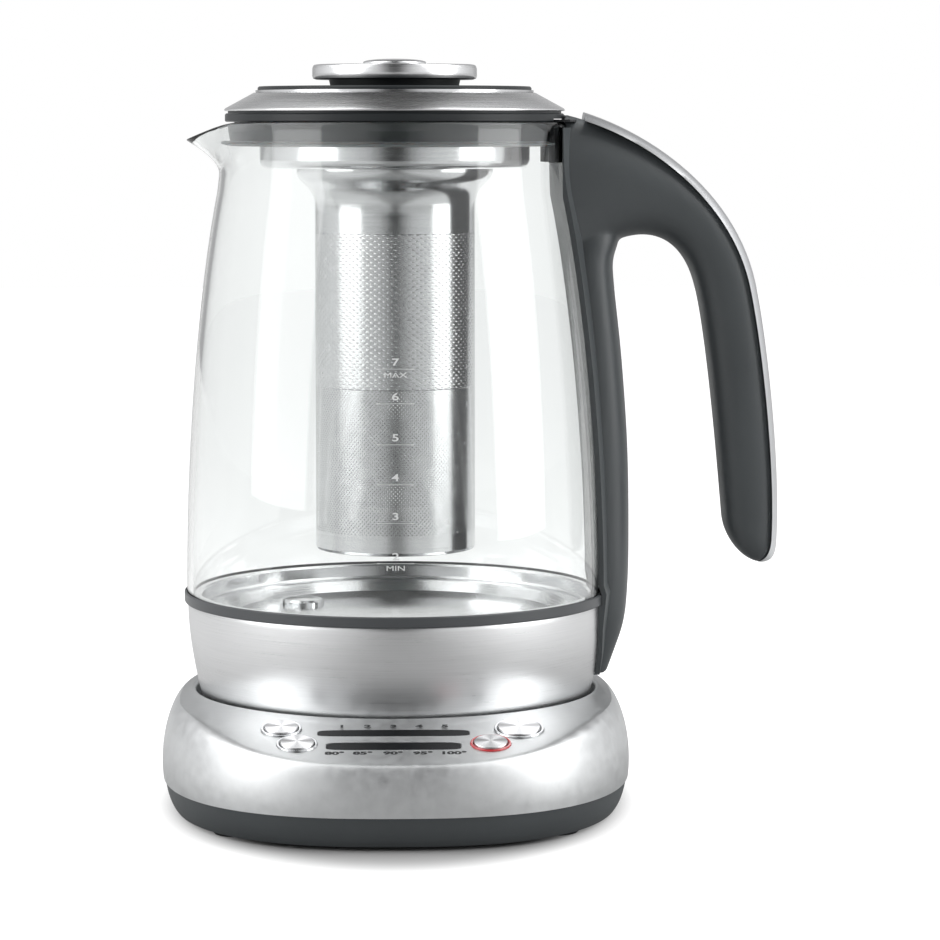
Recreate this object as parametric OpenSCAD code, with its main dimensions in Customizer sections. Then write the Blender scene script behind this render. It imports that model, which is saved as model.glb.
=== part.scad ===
// Automatic tea maker: a glass jug with an infuser basket and lids, on a powered base with a sloped panel.
// Everything is drawn about the jug's centre line, x = y = 0, with the table at z = 0, the handle
// towards +X, the spout towards -X and the control panel towards -Y. on_stand() then moves it so
// that the origin is under the middle of the whole.

/* [Base] */
// Width of the base beyond either side of the jug's seat
side_margin = 11.4; // [9.4:0.2:18]
// Depth of the base behind the jug's seat
back_margin = 12; // [10:0.5:20]
// Depth of the base in front of the jug's seat
front_margin = 44; // [42:0.5:54]
// Squareness of the base's rounded plan, 2 is an ellipse
base_squareness = 2.5; // [2.3:0.1:3.2]
// Height of the rim round the jug's seat
base_rim_z = 40.3; // [38:0.1:46]
// Height at which the base is widest
base_wide_z = 17.6; // [15:0.1:20]
// Inset of the cover's rounded shoulder
shoulder_inset = 9; // [6:0.5:10]
// Inset of the tray's rounded toe
toe_inset = 4.8; // [3:0.2:8]
// Height of the line between the cover and the tray
tray_top_z = 12.4; // [11:0.1:14]
// Step in from the cover to the tray
tray_step = 0.6; // [0.2:0.1:1.5]
// Wall of the base's two shells
shell_wall = 2.4; // [1.8:0.1:3]
// Depth of the jug's seat below the rim
seat_depth = 7.3; // [6:0.1:9]
// Gap round the jug's skirt at the seat's rim
seat_clear = 2; // [1.2:0.1:4]
// Height that the feet hold the tray above the table
foot_stand = 1.5; // [1:0.1:3]
// Diameter of a foot
foot_d = 18; // [12:1:22]
// Half spacing of the two front feet
foot_front_x = 57; // [48:1:60]
// Half spacing of the two back feet
foot_back_x = 44; // [40:1:46]
// Diameter of the round connector in the middle of the seat
connector_d = 35.6; // [30:0.2:40]
// Height of the connector above the seat's floor
connector_h = 13; // [10:0.5:15]
// Diameter of the lead that the gland takes
lead_d = 7; // [6:0.1:8]

/* [Control panel] */
// Tilt of the panel from level
panel_tilt = 13; // [10:0.5:15]
// Travel of a button
button_travel = 0.8; // [0.4:0.1:1]
// Height of a button's cap above the panel
button_proud = 1; // [0.6:0.1:1.6]
// Radial gap between a cap and its ring
button_clear = 0.15; // [0.1:0.05:0.3]
// Depth of the control board below the panel's face
board_depth = 12; // [11.5:0.1:13]
// Place of the brew time button: to the right of the middle, and in front of the seat
brew_time_at = [-41, 9.5]; // [-44:0.5:-40]
// Place of the temperature button: to the right of the middle, and in front of the seat
temperature_at = [-35, 23]; // [-36:0.5:-34]
// Place of the start timer button: to the right of the middle, and in front of the seat
start_timer_at = [44, 10]; // [43:0.5:46]
// Place of the start and stop button: to the right of the middle, and in front of the seat
start_stop_at = [33.5, 23]; // [33:0.5:35]
// Diameter of a small button's cap
small_cap_d = 12.2; // [11:0.1:12.8]
// Diameter of the large button's cap
large_cap_d = 15.5; // [14:0.1:16]
// Width of a button's ring
ring_w = 1.1; // [0.8:0.1:1.3]
// Length of the upper display window
upper_window_l = 54; // [46:1:56]
// Length of the lower display window
lower_window_l = 47.5; // [40:0.5:48]
// Width of a display window at its middle
window_w = 6; // [4.5:0.1:6.4]

/* [Glass jug] */
// Outer radius of the glass at its foot
jug_foot_r = 79.2; // [77:0.1:81]
// How far the glass draws in from its foot to its neck
neck_inset = 12.3; // [10:0.1:14]
// How far the glass draws in from the neck to the rim
rim_inset = 1.4; // [0.5:0.1:2]
// Thickness of the glass
glass_wall = 2.2; // [1.8:0.1:2.4]
// Height at which the neck begins
neck_z = 227; // [220:1:232]
// Height of the glass rim
rim_z = 253.9; // [250:0.1:258]
// Reach of the spout beyond the neck
spout_reach = 13.4; // [8:0.2:18]
// Drop of the spout's lip below the rim
spout_drop = 6.4; // [3:0.2:8]
// Half angle of the spout
spout_half_angle = 13; // [9:0.5:16]

/* [Boiler] */
// Height of the top of the skirt, where the gasket starts
skirt_top_z = 73.5; // [70:0.5:78]
// How far the skirt's top stands inside the foot of the glass
skirt_inset = 0.3; // [0:0.1:1]
// How far the skirt draws in from its top to the seat's rim
skirt_taper = 4.9; // [3:0.1:6]
// Thickness of the boiler's steel
steel_wall = 1; // [0.8:0.1:1.4]
// Height of the gasket between the skirt and the glass
gasket_h = 4; // [3:0.1:5]
// Depth of the boiler's floor below the top of the glass side's rim
floor_drop = 9; // [7:0.5:11]
// Diameter of the sensor cap
sensor_d = 16; // [12:0.5:20]

/* [Handle] */
// Reach of the handle beyond the foot of the glass
handle_span = 66.1; // [60:0.1:72]
// Height of the handle's top
handle_top_z = 260.3; // [256:0.1:264]
// Height of the handle's free tip
handle_tip_z = 87.8; // [80:0.5:110]
// Height of the lower end of the spine
spine_low_z = 45; // [43:0.5:50]
// Thickness of the spine over the foot of the glass
spine_depth = 9.5; // [8.5:0.1:12]
// Half width of the handle's head, where it meets the jug
head_half_w = 21; // [18:0.5:24]
// Half width of the flange that lies along the glass on either side of the spine
spine_flange_half_w = 26; // [24:0.5:28]
// Thickness of that flange
spine_flange_t = 2; // [1.5:0.1:3]
// Half width of the grip
grip_half_w = 14; // [12:0.5:18]
// Thickness of the steel strip on the handle's back
trim_t = 3; // [2:0.1:4]
// Angle that the clamp inside the rim spans
clamp_angle = 40; // [30:1:50]

/* [Lid] */
// How far the lid's flange stands inside the rim of the glass
flange_inset = 1.8; // [1.2:0.1:3]
// Height of the lid's flange
flange_h = 3.2; // [2.5:0.1:4]
// Radial gap between the plug and the neck, which the seal closes
plug_gap = 3.1; // [2.3:0.1:5]
// Reach of the plug below the flange
plug_h = 7.1; // [6:0.1:9]
// Height of the lid's top edge above the flange
cone_h = 7.7; // [6:0.1:9]
// Width of the plug from its outside to the opening for the basket
plug_w = 8.9; // [8:0.1:12]
// Gap between the sealing lip and the glass
seal_clear = 0.3; // [0.25:0.05:0.6]

/* [Basket] */
// Radial gap between the basket's pan and the lid's opening
basket_clear = 0.5; // [0.3:0.05:0.8]
// Thickness of the basket's steel
basket_wall = 0.8; // [0.6:0.1:1]
// Height of the pan's bottom
pan_low_z = 236.8; // [232:0.2:240]
// Outer radius of the collar under the pan
collar_r = 37; // [35:0.5:40]
// Outer radius of the tube
tube_r = 30.15; // [27:0.05:33]
// Height of the tube's upper seam
tube_top_z = 219.7; // [214:0.1:222]
// Height of the tube's lower seam
tube_low_z = 100.6; // [98:0.1:110]
// Height of the basket's bottom
basket_low_z = 93; // [88:0.5:97]
// Diameter of a perforation
hole_d = 3; // [2:0.1:3.4]
// Number of perforations in one ring
holes_round = 20; // [12:2:24]
// Number of rings of perforations
hole_rows = 12; // [6:1:14]

/* [Basket lid] */
// How far the basket's lid stands over the edge of the lid's opening
cap_over = 0.1; // [0:0.1:0.8]
// Thickness of the basket's lid
cap_disc_t = 1.3; // [1:0.1:2]
// Radius of the knob
knob_r = 30.9; // [26:0.1:34]
// Thickness of the knob
knob_h = 5.6; // [4:0.1:8]
// Radius of the neck under the knob
knob_neck_r = 24.7; // [18:0.1:26]
// Height of the neck under the knob
knob_neck_h = 2.6; // [2:0.1:5]
// Radius of the raised centre of the knob
knob_centre_r = 11.8; // [8:0.1:14]

/* [Fits] */
// Gap under each piece that lifts off, where it rests
rest_gap = 0.1; // [0.05:0.05:0.3]
// Gap round a piece that is fixed in a recess
fixed_gap = 0.1; // [0.05:0.05:0.2]
// Gap between the handle and the jug
handle_gap = 0.15; // [0.1:0.05:0.3]

/* [Hidden] */
$fn = 96;
plan_sides = 64;             // corners of the base's rounded plan
slice_t = 0.01;              // thickness of the slices that a shell is lofted from
far = 300;                   // longer than anything that it cuts

// radii of the jug, and of what takes its size from them
jug_neck_r = jug_foot_r - neck_inset;
jug_rim_r = jug_neck_r - rim_inset;
neck_in_r = jug_rim_r - glass_wall;
skirt_top_r = jug_foot_r - skirt_inset;
skirt_low_r = skirt_top_r - skirt_taper;
seat_r = skirt_low_r + seat_clear;
handle_reach = jug_foot_r + handle_span;
spine_reach = jug_foot_r + spine_depth;
flange_r = jug_rim_r - flange_inset;
plug_r = neck_in_r - plug_gap;
lid_opening_r = plug_r - plug_w;
cap_disc_r = lid_opening_r + cap_over;
// plan of the base and of its panel
base_half_w = seat_r + side_margin;
base_front = seat_r + front_margin;
base_back = seat_r + back_margin;
base_mid_y = (base_back - base_front) / 2;
base_half_d = (base_back + base_front) / 2;
panel_start = seat_r;
function on_slope(at) = [at.x, -seat_r - at.y];
brew_time_xy = on_slope(brew_time_at);
temperature_xy = on_slope(temperature_at);
start_timer_xy = on_slope(start_timer_at);
start_stop_xy = on_slope(start_stop_at);
// heights
seat_floor_z = base_rim_z - seat_depth;
crown_z = base_rim_z + 0.9;  // where the shoulder's curve would be level
jug_low_z = seat_floor_z + rest_gap;
glass_foot_z = skirt_top_z + 1.5;
gasket_top_z = skirt_top_z + gasket_h;
gasket_in_r = jug_foot_r - glass_wall - 2.4;
floor_rim_z = gasket_top_z - 0.5;
floor_z = floor_rim_z - floor_drop;
floor_step_z = floor_z + 3.6;
flange_z = rim_z + rest_gap;
flange_top_z = flange_z + flange_h;
plug_low_z = flange_z - plug_h;
lid_top_z = flange_top_z + cone_h;
pan_r = lid_opening_r - basket_clear;
lip_low_z = lid_top_z + rest_gap;
lip_r = lid_opening_r + 0.9;
lip_top_z = lip_low_z + basket_wall;
cap_low_z = lip_top_z + rest_gap;
cap_top_z = cap_low_z + cap_disc_t;
knob_low_z = cap_top_z + knob_neck_h;
knob_top_z = knob_low_z + knob_h;

// the whole reaches from the base's left side to the handle's back, and from its front to its back
stand_x = (handle_reach - base_half_w) / 2;
stand_y = base_mid_y;
module on_stand() translate([-stand_x, -stand_y, 0]) children();

// ---------- curves ----------

// point of a cubic curve with four control points
function curve(p, t) = pow(1 - t, 3) * p[0] + 3 * t * pow(1 - t, 2) * p[1]
    + 3 * t * t * (1 - t) * p[2] + pow(t, 3) * p[3];
function curve_points(p, n, first = 0) = [for (i = [first:n]) curve(p, i / n)];
function mix(a, b, t) = a + (b - a) * t;
function signed_pow(v, e) = sign(v) * pow(abs(v), e);
// closed outline between an ellipse and a rectangle
function superellipse(a, b, e, n) = [for (i = [0:n - 1]) let (w = 360 * i / n)
    [a * signed_pow(cos(w), 2 / e), b * signed_pow(sin(w), 2 / e)]];
// an open line of [r, z] points made a sheet of thickness t, grown towards the axis
function sheet(line, t) = concat(line, [for (i = [len(line) - 1:-1:0]) line[i] - [t, 0]]);

module revolve(outline) rotate_extrude() polygon(outline);
// a ring with a rectangular section
module ring(r_in, r_out, z_low, z_high)
    revolve([[r_in, z_low], [r_out, z_low], [r_out, z_high], [r_in, z_high]]);
// everything from radius r_in outwards, over the given angle either side of the handle
module handle_sector(r_in, r_out, angle, z_low, z_high)
    translate([0, 0, z_low]) rotate([0, 0, -angle / 2]) rotate_extrude(angle = angle)
        translate([r_in, 0]) square([r_out - r_in, z_high - z_low]);

// ---------- base ----------

// how far the base's side lies inside its widest outline at height z
function base_inset(z) = z > base_wide_z
    ? shoulder_inset * (1 - sqrt(1 - pow((z - base_wide_z) / (crown_z - base_wide_z), 2)))
    : toe_inset * (1 - sqrt(1 - pow((base_wide_z - z) / base_wide_z, 2)));
function panel_z(y) = base_rim_z + tan(panel_tilt) * (y + panel_start);

module base_slice(z, inset)
    translate([0, base_mid_y, z]) linear_extrude(slice_t)
        polygon(superellipse(base_half_w - inset, base_half_d - inset, base_squareness, plan_sides));
// the base's rounded form between two heights, in steps that are closer together near the top
module base_form(z_low, z_high, steps, extra)
    for (i = [0:steps - 1]) hull()
        for (step = [i, i + 1]) let (z = mix(z_low, z_high - slice_t, sin(90 * step / steps)))
            base_slice(z, base_inset(z) + extra);
// all that lies above the panel's plane, lowered by the given depth
module above_panel(depth)
    translate([0, -panel_start, base_rim_z]) rotate([panel_tilt, 0, 0])
        translate([-far, -far, -depth]) cube([2 * far, 2 * far, far]);
// places children on the panel's face at a point given in plan, with +z square to the face
module on_panel(xy) translate([xy.x, xy.y, panel_z(xy.y)]) rotate([panel_tilt, 0, 0]) children();

post_reach = seat_r - 9.5;    // of the screw posts from the middle of the seat
base_post_xy = [for (angle = [44, 136, 224, 316]) post_reach * [cos(angle), sin(angle)]];
board_post_xy = [on_slope([-15, 17.6]), on_slope([15, 17.6]), on_slope([-54, 16]), on_slope([56, 16])];
board_post_r = 1.9;
screw_r = 1.75;
screw_hole_h = 12;
head_hole_r = 3.6;
head_hole_h = 3.4;
post_r = 4.5;
gland_z = base_wide_z + 1;
gland_r = lead_d / 2 + 1.1;
connector_flange_r = connector_d / 2 + 7;

module base_top_cover() color([0.78, 0.79, 0.80]) difference() {
    union() {
        difference() {
            base_form(tray_top_z, base_rim_z, 7, 0);
            above_panel(0);
            difference() {
                base_form(tray_top_z - 1, base_rim_z - shell_wall, 3, shell_wall);
                above_panel(shell_wall);
                cylinder_between(seat_r + shell_wall, seat_floor_z - shell_wall, base_rim_z);
            }
        }
        for (p = base_post_xy)
            translate([p.x, p.y, tray_top_z])
                cylinder(r = post_r, h = seat_floor_z - shell_wall / 2 - tray_top_z, $fn = 16);
        for (p = board_post_xy)
            on_panel(p) translate([0, 0, -board_depth])
                cylinder(r = board_post_r, h = board_depth - shell_wall / 2, $fn = 12);
    }
    cylinder_between(seat_r, seat_floor_z, far);
    translate([0, 0, base_rim_z - 1]) cylinder(r1 = seat_r, r2 = seat_r + 1.2, h = 1.2);
    cylinder_between(connector_d / 2 + fixed_gap, 0, far);
    for (p = base_post_xy)
        translate([p.x, p.y, tray_top_z - 1]) cylinder(r = screw_r, h = screw_hole_h + 1, $fn = 12);
    on_panel(brew_time_xy) ring_hole(small_cap_d);
    on_panel(temperature_xy) ring_hole(small_cap_d);
    on_panel(start_timer_xy) ring_hole(large_cap_d);
    on_panel(start_stop_xy) ring_hole(small_cap_d);
    upper_window_slot(fixed_gap);
    lower_window_slot(fixed_gap);
    translate([0, base_back - 3 * shell_wall, gland_z]) rotate([-90, 0, 0])
        cylinder(r = gland_r + fixed_gap, h = far, $fn = 32);
}
module cylinder_between(r, z_low, z_high) translate([0, 0, z_low]) cylinder(r = r, h = z_high - z_low);
module ring_hole(cap_d) translate([0, 0, -far / 10])
    cylinder(r = ring_outer_r(cap_d) + fixed_gap, h = far / 5, $fn = 36);
function ring_inner_r(cap_d) = cap_d / 2 + button_clear;
function ring_outer_r(cap_d) = ring_inner_r(cap_d) + ring_w;

module base_lower_tray() color([0.27, 0.29, 0.30]) difference() {
    union() {
        difference() {
            base_form(foot_stand, tray_top_z, 5, tray_step);
            base_form(foot_stand + shell_wall, tray_top_z + 1, 3, tray_step + shell_wall);
        }
        for (p = base_post_xy)
            translate([p.x, p.y, foot_stand + shell_wall / 2])
                cylinder(r = post_r, h = tray_top_z - foot_stand - shell_wall / 2, $fn = 16);
    }
    for (p = base_post_xy) translate([p.x, p.y, 0]) {
        cylinder(r = screw_r + fixed_gap, h = far, $fn = 12);
        cylinder(r = head_hole_r, h = foot_stand + head_hole_h, $fn = 16);
    }
    for (p = foot_xy)
        translate([p.x, p.y, 0]) cylinder(r = foot_d / 2 + fixed_gap, h = 2 * foot_stand, $fn = 36);
}

foot_front_y = -seat_r - 6;
foot_back_y = base_back - 26;
foot_xy = [[-foot_front_x, foot_front_y], [foot_front_x, foot_front_y],
    [-foot_back_x, foot_back_y], [foot_back_x, foot_back_y]];
module foot_pads() color([0.12, 0.12, 0.13])
    for (p = foot_xy) translate([p.x, p.y, 0])
        revolve([[0, 0], [foot_d / 2 - 0.8, 0], [foot_d / 2, 0.8],
            [foot_d / 2, 2 * foot_stand], [0, 2 * foot_stand]]);

// bush in the cover's back wall, which the mains lead comes out of, with a flange behind the wall
gland_l = 8;
gland_flange_y = -shell_wall - 0.8;
gland_flange_r = gland_r + 1.4;
lead_hole_r = lead_d / 2 + 0.1;
module lead_gland() color([0.14, 0.14, 0.15])
    translate([0, base_back, gland_z]) rotate([-90, 0, 0])
        revolve([[lead_hole_r, -gland_l], [gland_flange_r, -gland_l], [gland_flange_r, gland_flange_y],
            [gland_r, gland_flange_y], [gland_r, -0.4], [gland_r - 0.4, 0], [lead_hole_r, 0]]);

// screw with a domed head, which ends at z_low, under its thread
module screw(head_r, head_h, thread_r, thread_l) revolve([[0, -head_h + 0.4], [head_r * 0.4, -head_h + 0.4],
    [head_r * 0.4, -head_h], [head_r * 0.85, -head_h], [head_r, -head_h / 3], [head_r, 0], [thread_r, 0],
    [thread_r, thread_l], [0, thread_l + thread_r]]);
module base_screws() color([0.6, 0.61, 0.62])
    for (p = base_post_xy) translate([p.x, p.y, foot_stand + head_hole_h])
        screw(head_hole_r - 0.4, 2.2, screw_r - 0.1,
            tray_top_z + screw_hole_h - foot_stand - head_hole_h - 4);

// round connector that the jug drops over at any angle, with grooves for three contact rings
contact_radii = [5, 9.5, 14];
contact_w = 2;
connector_top_z = seat_floor_z + connector_h;
connector_flange_z = seat_floor_z - shell_wall;
connector_hole_r = 2.6;
contact_t = 1;
module base_connector() color([0.16, 0.16, 0.17]) difference() {
    revolve([[connector_hole_r, connector_flange_z - 3], [connector_flange_r, connector_flange_z - 3],
        [connector_flange_r, connector_flange_z], [connector_d / 2, connector_flange_z],
        [connector_d / 2, connector_top_z - 1.5], [connector_d / 2 - 1.5, connector_top_z],
        [connector_hole_r, connector_top_z]]);
    for (r = contact_radii)
        ring(r - contact_w / 2, r + contact_w / 2, connector_top_z - contact_t, connector_top_z + 1);
}
module contact_rings() color([0.85, 0.66, 0.32])
    for (r = contact_radii)
        ring(r - contact_w / 2, r + contact_w / 2, connector_top_z - contact_t, connector_top_z);

// ---------- control panel ----------

// corners of the control board, to the right of the middle and in front of the top of the slope
board_outline = [[-57, -7], [57, -7], [52, -22], [38, -32], [-38, -32], [-52, -22]];
board_t = 1.6;
module control_board() color([0.10, 0.33, 0.20])
    on_panel([0, -panel_start]) translate([0, 0, -board_depth - board_t])
        linear_extrude(board_t) polygon(board_outline);

switch_w = 6;
switch_h = 3.5;
plunger_r = 1.75;
plunger_h = 0.8;
plunger_top = -(board_depth - switch_h - plunger_h);
button_xy = [brew_time_xy, temperature_xy, start_timer_xy, start_stop_xy];
module tact_switches() color([0.2, 0.2, 0.21])
    for (p = button_xy) on_panel(p) {
        translate([-switch_w / 2, -switch_w / 2, -board_depth]) cube([switch_w, switch_w, switch_h]);
        translate([0, 0, -board_depth + switch_h - 0.5]) cylinder(r = plunger_r, h = plunger_h + 0.5);
    }

window_depth = shell_wall + 0.4;
upper_window_y = -seat_r - 12.1;
lower_window_y = -seat_r - 23.9;
light_pitch = 9.4;
light_size = [3.2, 2.4];
module indicator_lights() color([0.9, 0.9, 0.85])
    for (y = [upper_window_y, lower_window_y], i = [-2:2])
        on_panel([window_mid_x + i * light_pitch, y])
            translate([-light_size.x / 2, -light_size.y / 2, -board_depth])
                cube([light_size.x, light_size.y, board_depth - window_depth - 0.6]);

// slot with rounded ends whose lower edge bows towards the user more than its upper edge
window_mid_x = -0.9;
window_sides = 14;
lower_bow = 0.9;
upper_bow = 0.6;
upper_window_w = window_w - 0.6;
window_sunk = 0.1;
function window_edge(s, l, w, grow, side, bow) = [(l / 2 + grow) * s,
    side * (w / 2 + grow) * sqrt(max(0, 1 - pow(abs(s), 8))) - bow * (1 - s * s)];
function window_outline(l, w, grow) = let (n = window_sides) concat(
    [for (i = [0:n]) window_edge(-cos(180 * i / n), l, w, grow, -1, lower_bow)],
    [for (i = [n - 1:-1:1]) window_edge(-cos(180 * i / n), l, w, grow, 1, upper_bow)]);
module window_solid(y, l, w, top, grow) on_panel([window_mid_x, y]) translate([0, 0, -window_depth - grow])
    linear_extrude(window_depth + top + grow) polygon(window_outline(l, w, grow));
module upper_window_slot(grow) window_solid(upper_window_y, upper_window_l, upper_window_w, 2, grow);
module lower_window_slot(grow) window_solid(lower_window_y, lower_window_l, window_w, 2, grow);
module upper_window() color([0.10, 0.11, 0.12])
    window_solid(upper_window_y, upper_window_l, upper_window_w, -window_sunk, 0);
module lower_window() color([0.10, 0.11, 0.12])
    window_solid(lower_window_y, lower_window_l, window_w, -window_sunk, 0);

// sleeve in the cover that a button slides in, with a rounded lip on the panel
ring_low = -5.5;
ring_proud = 0.5;
module button_ring(cap_d) {
    r_in = ring_inner_r(cap_d);
    r_out = ring_outer_r(cap_d);
    revolve([[r_in, ring_low], [r_out - 0.3, ring_low], [r_out, ring_low + 0.3], [r_out, ring_proud - 0.3],
        [r_out - 0.4, ring_proud], [r_in + 0.2, ring_proud], [r_in, ring_proud - 0.2]]);
}
module brew_time_ring() color([0.8, 0.81, 0.82]) on_panel(brew_time_xy) button_ring(small_cap_d);
module temperature_ring() color([0.8, 0.81, 0.82]) on_panel(temperature_xy) button_ring(small_cap_d);
module start_timer_ring() color([0.8, 0.81, 0.82]) on_panel(start_timer_xy) button_ring(large_cap_d);
module start_stop_ring() color([0.66, 0.07, 0.08]) on_panel(start_stop_xy) button_ring(small_cap_d);

// cap with a rounded, slightly dished face, a catch below the ring and a foot over its switch
catch_reach = 0.9;
catch_h = 0.6;
cap_foot_r = 2;
module button_cap(cap_d) {
    r = cap_d / 2;
    catch_top = ring_low - 0.2;
    foot_low = plunger_top + button_travel + 0.1;
    revolve([[0, foot_low], [cap_foot_r, foot_low], [cap_foot_r, catch_top - catch_h],
        [r + catch_reach, catch_top - catch_h], [r + catch_reach, catch_top], [r, catch_top],
        [r, button_proud - 0.6], [r - 0.18, button_proud - 0.18], [r - 0.6, button_proud],
        [r * 0.5, button_proud - 0.2], [0, button_proud - 0.3]]);
}
module brew_time_button() color([0.84, 0.85, 0.86]) on_panel(brew_time_xy) button_cap(small_cap_d);
module temperature_button() color([0.84, 0.85, 0.86]) on_panel(temperature_xy) button_cap(small_cap_d);
module start_timer_button() color([0.84, 0.85, 0.86]) on_panel(start_timer_xy) button_cap(large_cap_d);
module start_stop_button() color([0.84, 0.85, 0.86]) on_panel(start_stop_xy) button_cap(small_cap_d);

// ---------- glass jug ----------

// outer line of the glass in [r, z]: a long taper and then the neck
taper = [[jug_foot_r, glass_foot_z], [jug_foot_r + 0.3, glass_foot_z + 47],
    [jug_foot_r - 4, neck_z - 42], [jug_neck_r, neck_z]];
neck = [[jug_neck_r, neck_z], [jug_neck_r - 1.1, neck_z + 6.5], [jug_rim_r, neck_z + 13],
    [jug_rim_r, rim_z - glass_wall / 2]];
taper_steps = 6;
neck_steps = 6;
glass_line = concat(curve_points(taper, taper_steps), curve_points(neck, neck_steps, 1));

// the spout's bulge, 1 on its middle line and fading to 0 on either side of it
function spout_part(angle) = exp(-pow((angle - 180) / spout_half_angle, 2));
spout_low_z = neck_z + 8;
// a point of the glass at an angle round the jug, moved out and down where the spout is
function glass_point(p, angle, inward) = let (
        s = max(0, (p.y - spout_low_z) / (rim_z - spout_low_z)),
        bulge = spout_part(angle) * spout_reach * pow(s, 1.6),
        r = p.x - inward + bulge)
    [r * cos(angle), r * sin(angle), p.y - spout_part(angle) * spout_drop * s];
// closer together round the spout
spout_span = 30;
wide_steps = 42;
jug_angles = concat([for (a = [180 - spout_span:3:180 + spout_span]) a],
    [for (i = [1:wide_steps - 1]) 180 + spout_span + i * (360 - 2 * spout_span) / wide_steps]);
// section rings: up the outside, over the rounded rim and down the inside
rim_round = [[jug_rim_r - glass_wall * 0.15, rim_z - 0.35], [jug_rim_r - glass_wall * 0.5, rim_z],
    [jug_rim_r - glass_wall * 0.85, rim_z - 0.35]];
module glass_jug() color([0.85, 0.90, 0.92, 0.4]) {
    turns = len(jug_angles);
    n = len(glass_line);
    rings = concat(
        [for (i = [0:n - 1]) [for (a = jug_angles) glass_point(glass_line[i], a, 0)]],
        [for (p = rim_round) [for (a = jug_angles) glass_point(p, a, 0)]],
        [for (i = [n - 1:-1:0]) [for (a = jug_angles) glass_point(glass_line[i], a, glass_wall)]]);
    m = len(rings);
    points = [for (row = rings, p = row) p];
    faces = [for (i = [0:m - 1], j = [0:turns - 1]) let (i2 = (i + 1) % m, j2 = (j + 1) % turns)
        each [[i * turns + j, i2 * turns + j, i2 * turns + j2],
            [i * turns + j, i2 * turns + j2, i * turns + j2]]];
    polyhedron(points = points, faces = faces, convexity = 6);
}

// ring with a groove that the foot of the glass stands in; its inner wall stands clear of the glass's flats
groove_gap = 0.3;
gasket_proud = 1;
module jug_gasket() color([0.25, 0.26, 0.28])
    revolve([[gasket_in_r, skirt_top_z], [jug_foot_r + gasket_proud - 0.2, skirt_top_z],
        [jug_foot_r + gasket_proud, skirt_top_z + 0.4], [jug_foot_r + gasket_proud, gasket_top_z - 0.4],
        [jug_foot_r + gasket_proud - 0.4, gasket_top_z], [jug_foot_r + groove_gap, gasket_top_z],
        [jug_foot_r + groove_gap, glass_foot_z], [jug_foot_r - glass_wall - groove_gap, glass_foot_z],
        [jug_foot_r - glass_wall - groove_gap, floor_rim_z - steel_wall],
        [gasket_in_r, floor_rim_z - steel_wall]]);

// ---------- boiler ----------

// side of the skirt, and its turn inwards to the face that stands in the seat
skirt_side = [[skirt_top_r, skirt_top_z], [skirt_top_r, skirt_top_z - 11.5],
    [skirt_top_r - 2, base_rim_z + 10.7], [skirt_low_r + 0.9, base_rim_z + 1.5]];
skirt_turn = [skirt_side[3], [skirt_low_r - 0.4, base_rim_z - 4], [skirt_low_r - 2.2, jug_low_z],
    [skirt_low_r - 8, jug_low_z]];
module boiler_skirt() color([0.80, 0.81, 0.82]) {
    line = concat(curve_points(skirt_side, 7), curve_points(skirt_turn, 6, 1));
    inner = [for (i = [len(line) - 1:-1:1]) line[i] - [steel_wall, 0]
        + [0, steel_wall * pow(i / (len(line) - 1), 4)]];
    revolve(concat([[gasket_in_r, skirt_top_z]], line, inner,
        [[skirt_top_r - steel_wall, skirt_top_z - steel_wall],
            [gasket_in_r, skirt_top_z - steel_wall]]));
}

// stepped floor pressed from one sheet, whose rim lies on the gasket's inner lip
floor_out_r = gasket_in_r - 0.2;
floor_lip_r = floor_out_r + 2;
floor_wall_r = floor_out_r - steel_wall;
step_r = floor_out_r - 8.4;
dish_r = step_r - 4;
module boiler_floor() color([0.86, 0.87, 0.88])
    revolve([[floor_lip_r, floor_rim_z], [floor_wall_r + 0.7, floor_rim_z],
        [floor_wall_r, floor_rim_z - 0.7],
        [floor_wall_r, floor_step_z + 0.8], [floor_wall_r - 0.8, floor_step_z], [step_r, floor_step_z],
        [dish_r, floor_z], [0, floor_z], [0, floor_z - steel_wall], [dish_r + 0.4, floor_z - steel_wall],
        [step_r + 0.4, floor_step_z - steel_wall], [floor_out_r, floor_step_z - steel_wall],
        [floor_out_r, floor_rim_z - steel_wall], [floor_lip_r, floor_rim_z - steel_wall]]);

sensor_xy = [-36, 24.7];
sensor_h = 2.2;
module sensor_cap() color([0.72, 0.73, 0.74]) translate([sensor_xy.x, sensor_xy.y, floor_z])
    revolve([[0, 0], [sensor_d / 2, 0], [sensor_d / 2, sensor_h - 1], [sensor_d / 2 - 0.8, sensor_h - 0.2],
        [0, sensor_h]]);

heat_plate_r = dish_r - 7;
heat_plate_t = 3;
heat_plate_z = floor_z - steel_wall - heat_plate_t;
module heat_plate() color([0.75, 0.75, 0.76]) ring(5, heat_plate_r, heat_plate_z, floor_z - steel_wall);

element_r = heat_plate_r - 11;
element_tube_r = 3.4;
element_flat = 0.3;          // the tube is pressed flat where it lies on the plate
element_gap_angle = 50;
element_pin_r = 2;
element_pin_h = 9;
module heating_element() color([0.55, 0.56, 0.57])
    translate([0, 0, heat_plate_z - element_tube_r + element_flat]) {
        difference() {
            rotate([0, 0, element_gap_angle / 2 + 90]) rotate_extrude(angle = 360 - element_gap_angle)
                translate([element_r, 0]) circle(element_tube_r, $fn = 32);
            translate([-far / 2, -far / 2, element_tube_r - element_flat]) cube(far);
        }
        for (side = [-1, 1]) rotate([0, 0, 90 + side * element_gap_angle / 2])
            translate([element_r, 0, -element_pin_h]) cylinder(r = element_pin_r, h = element_pin_h);
    }

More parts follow.
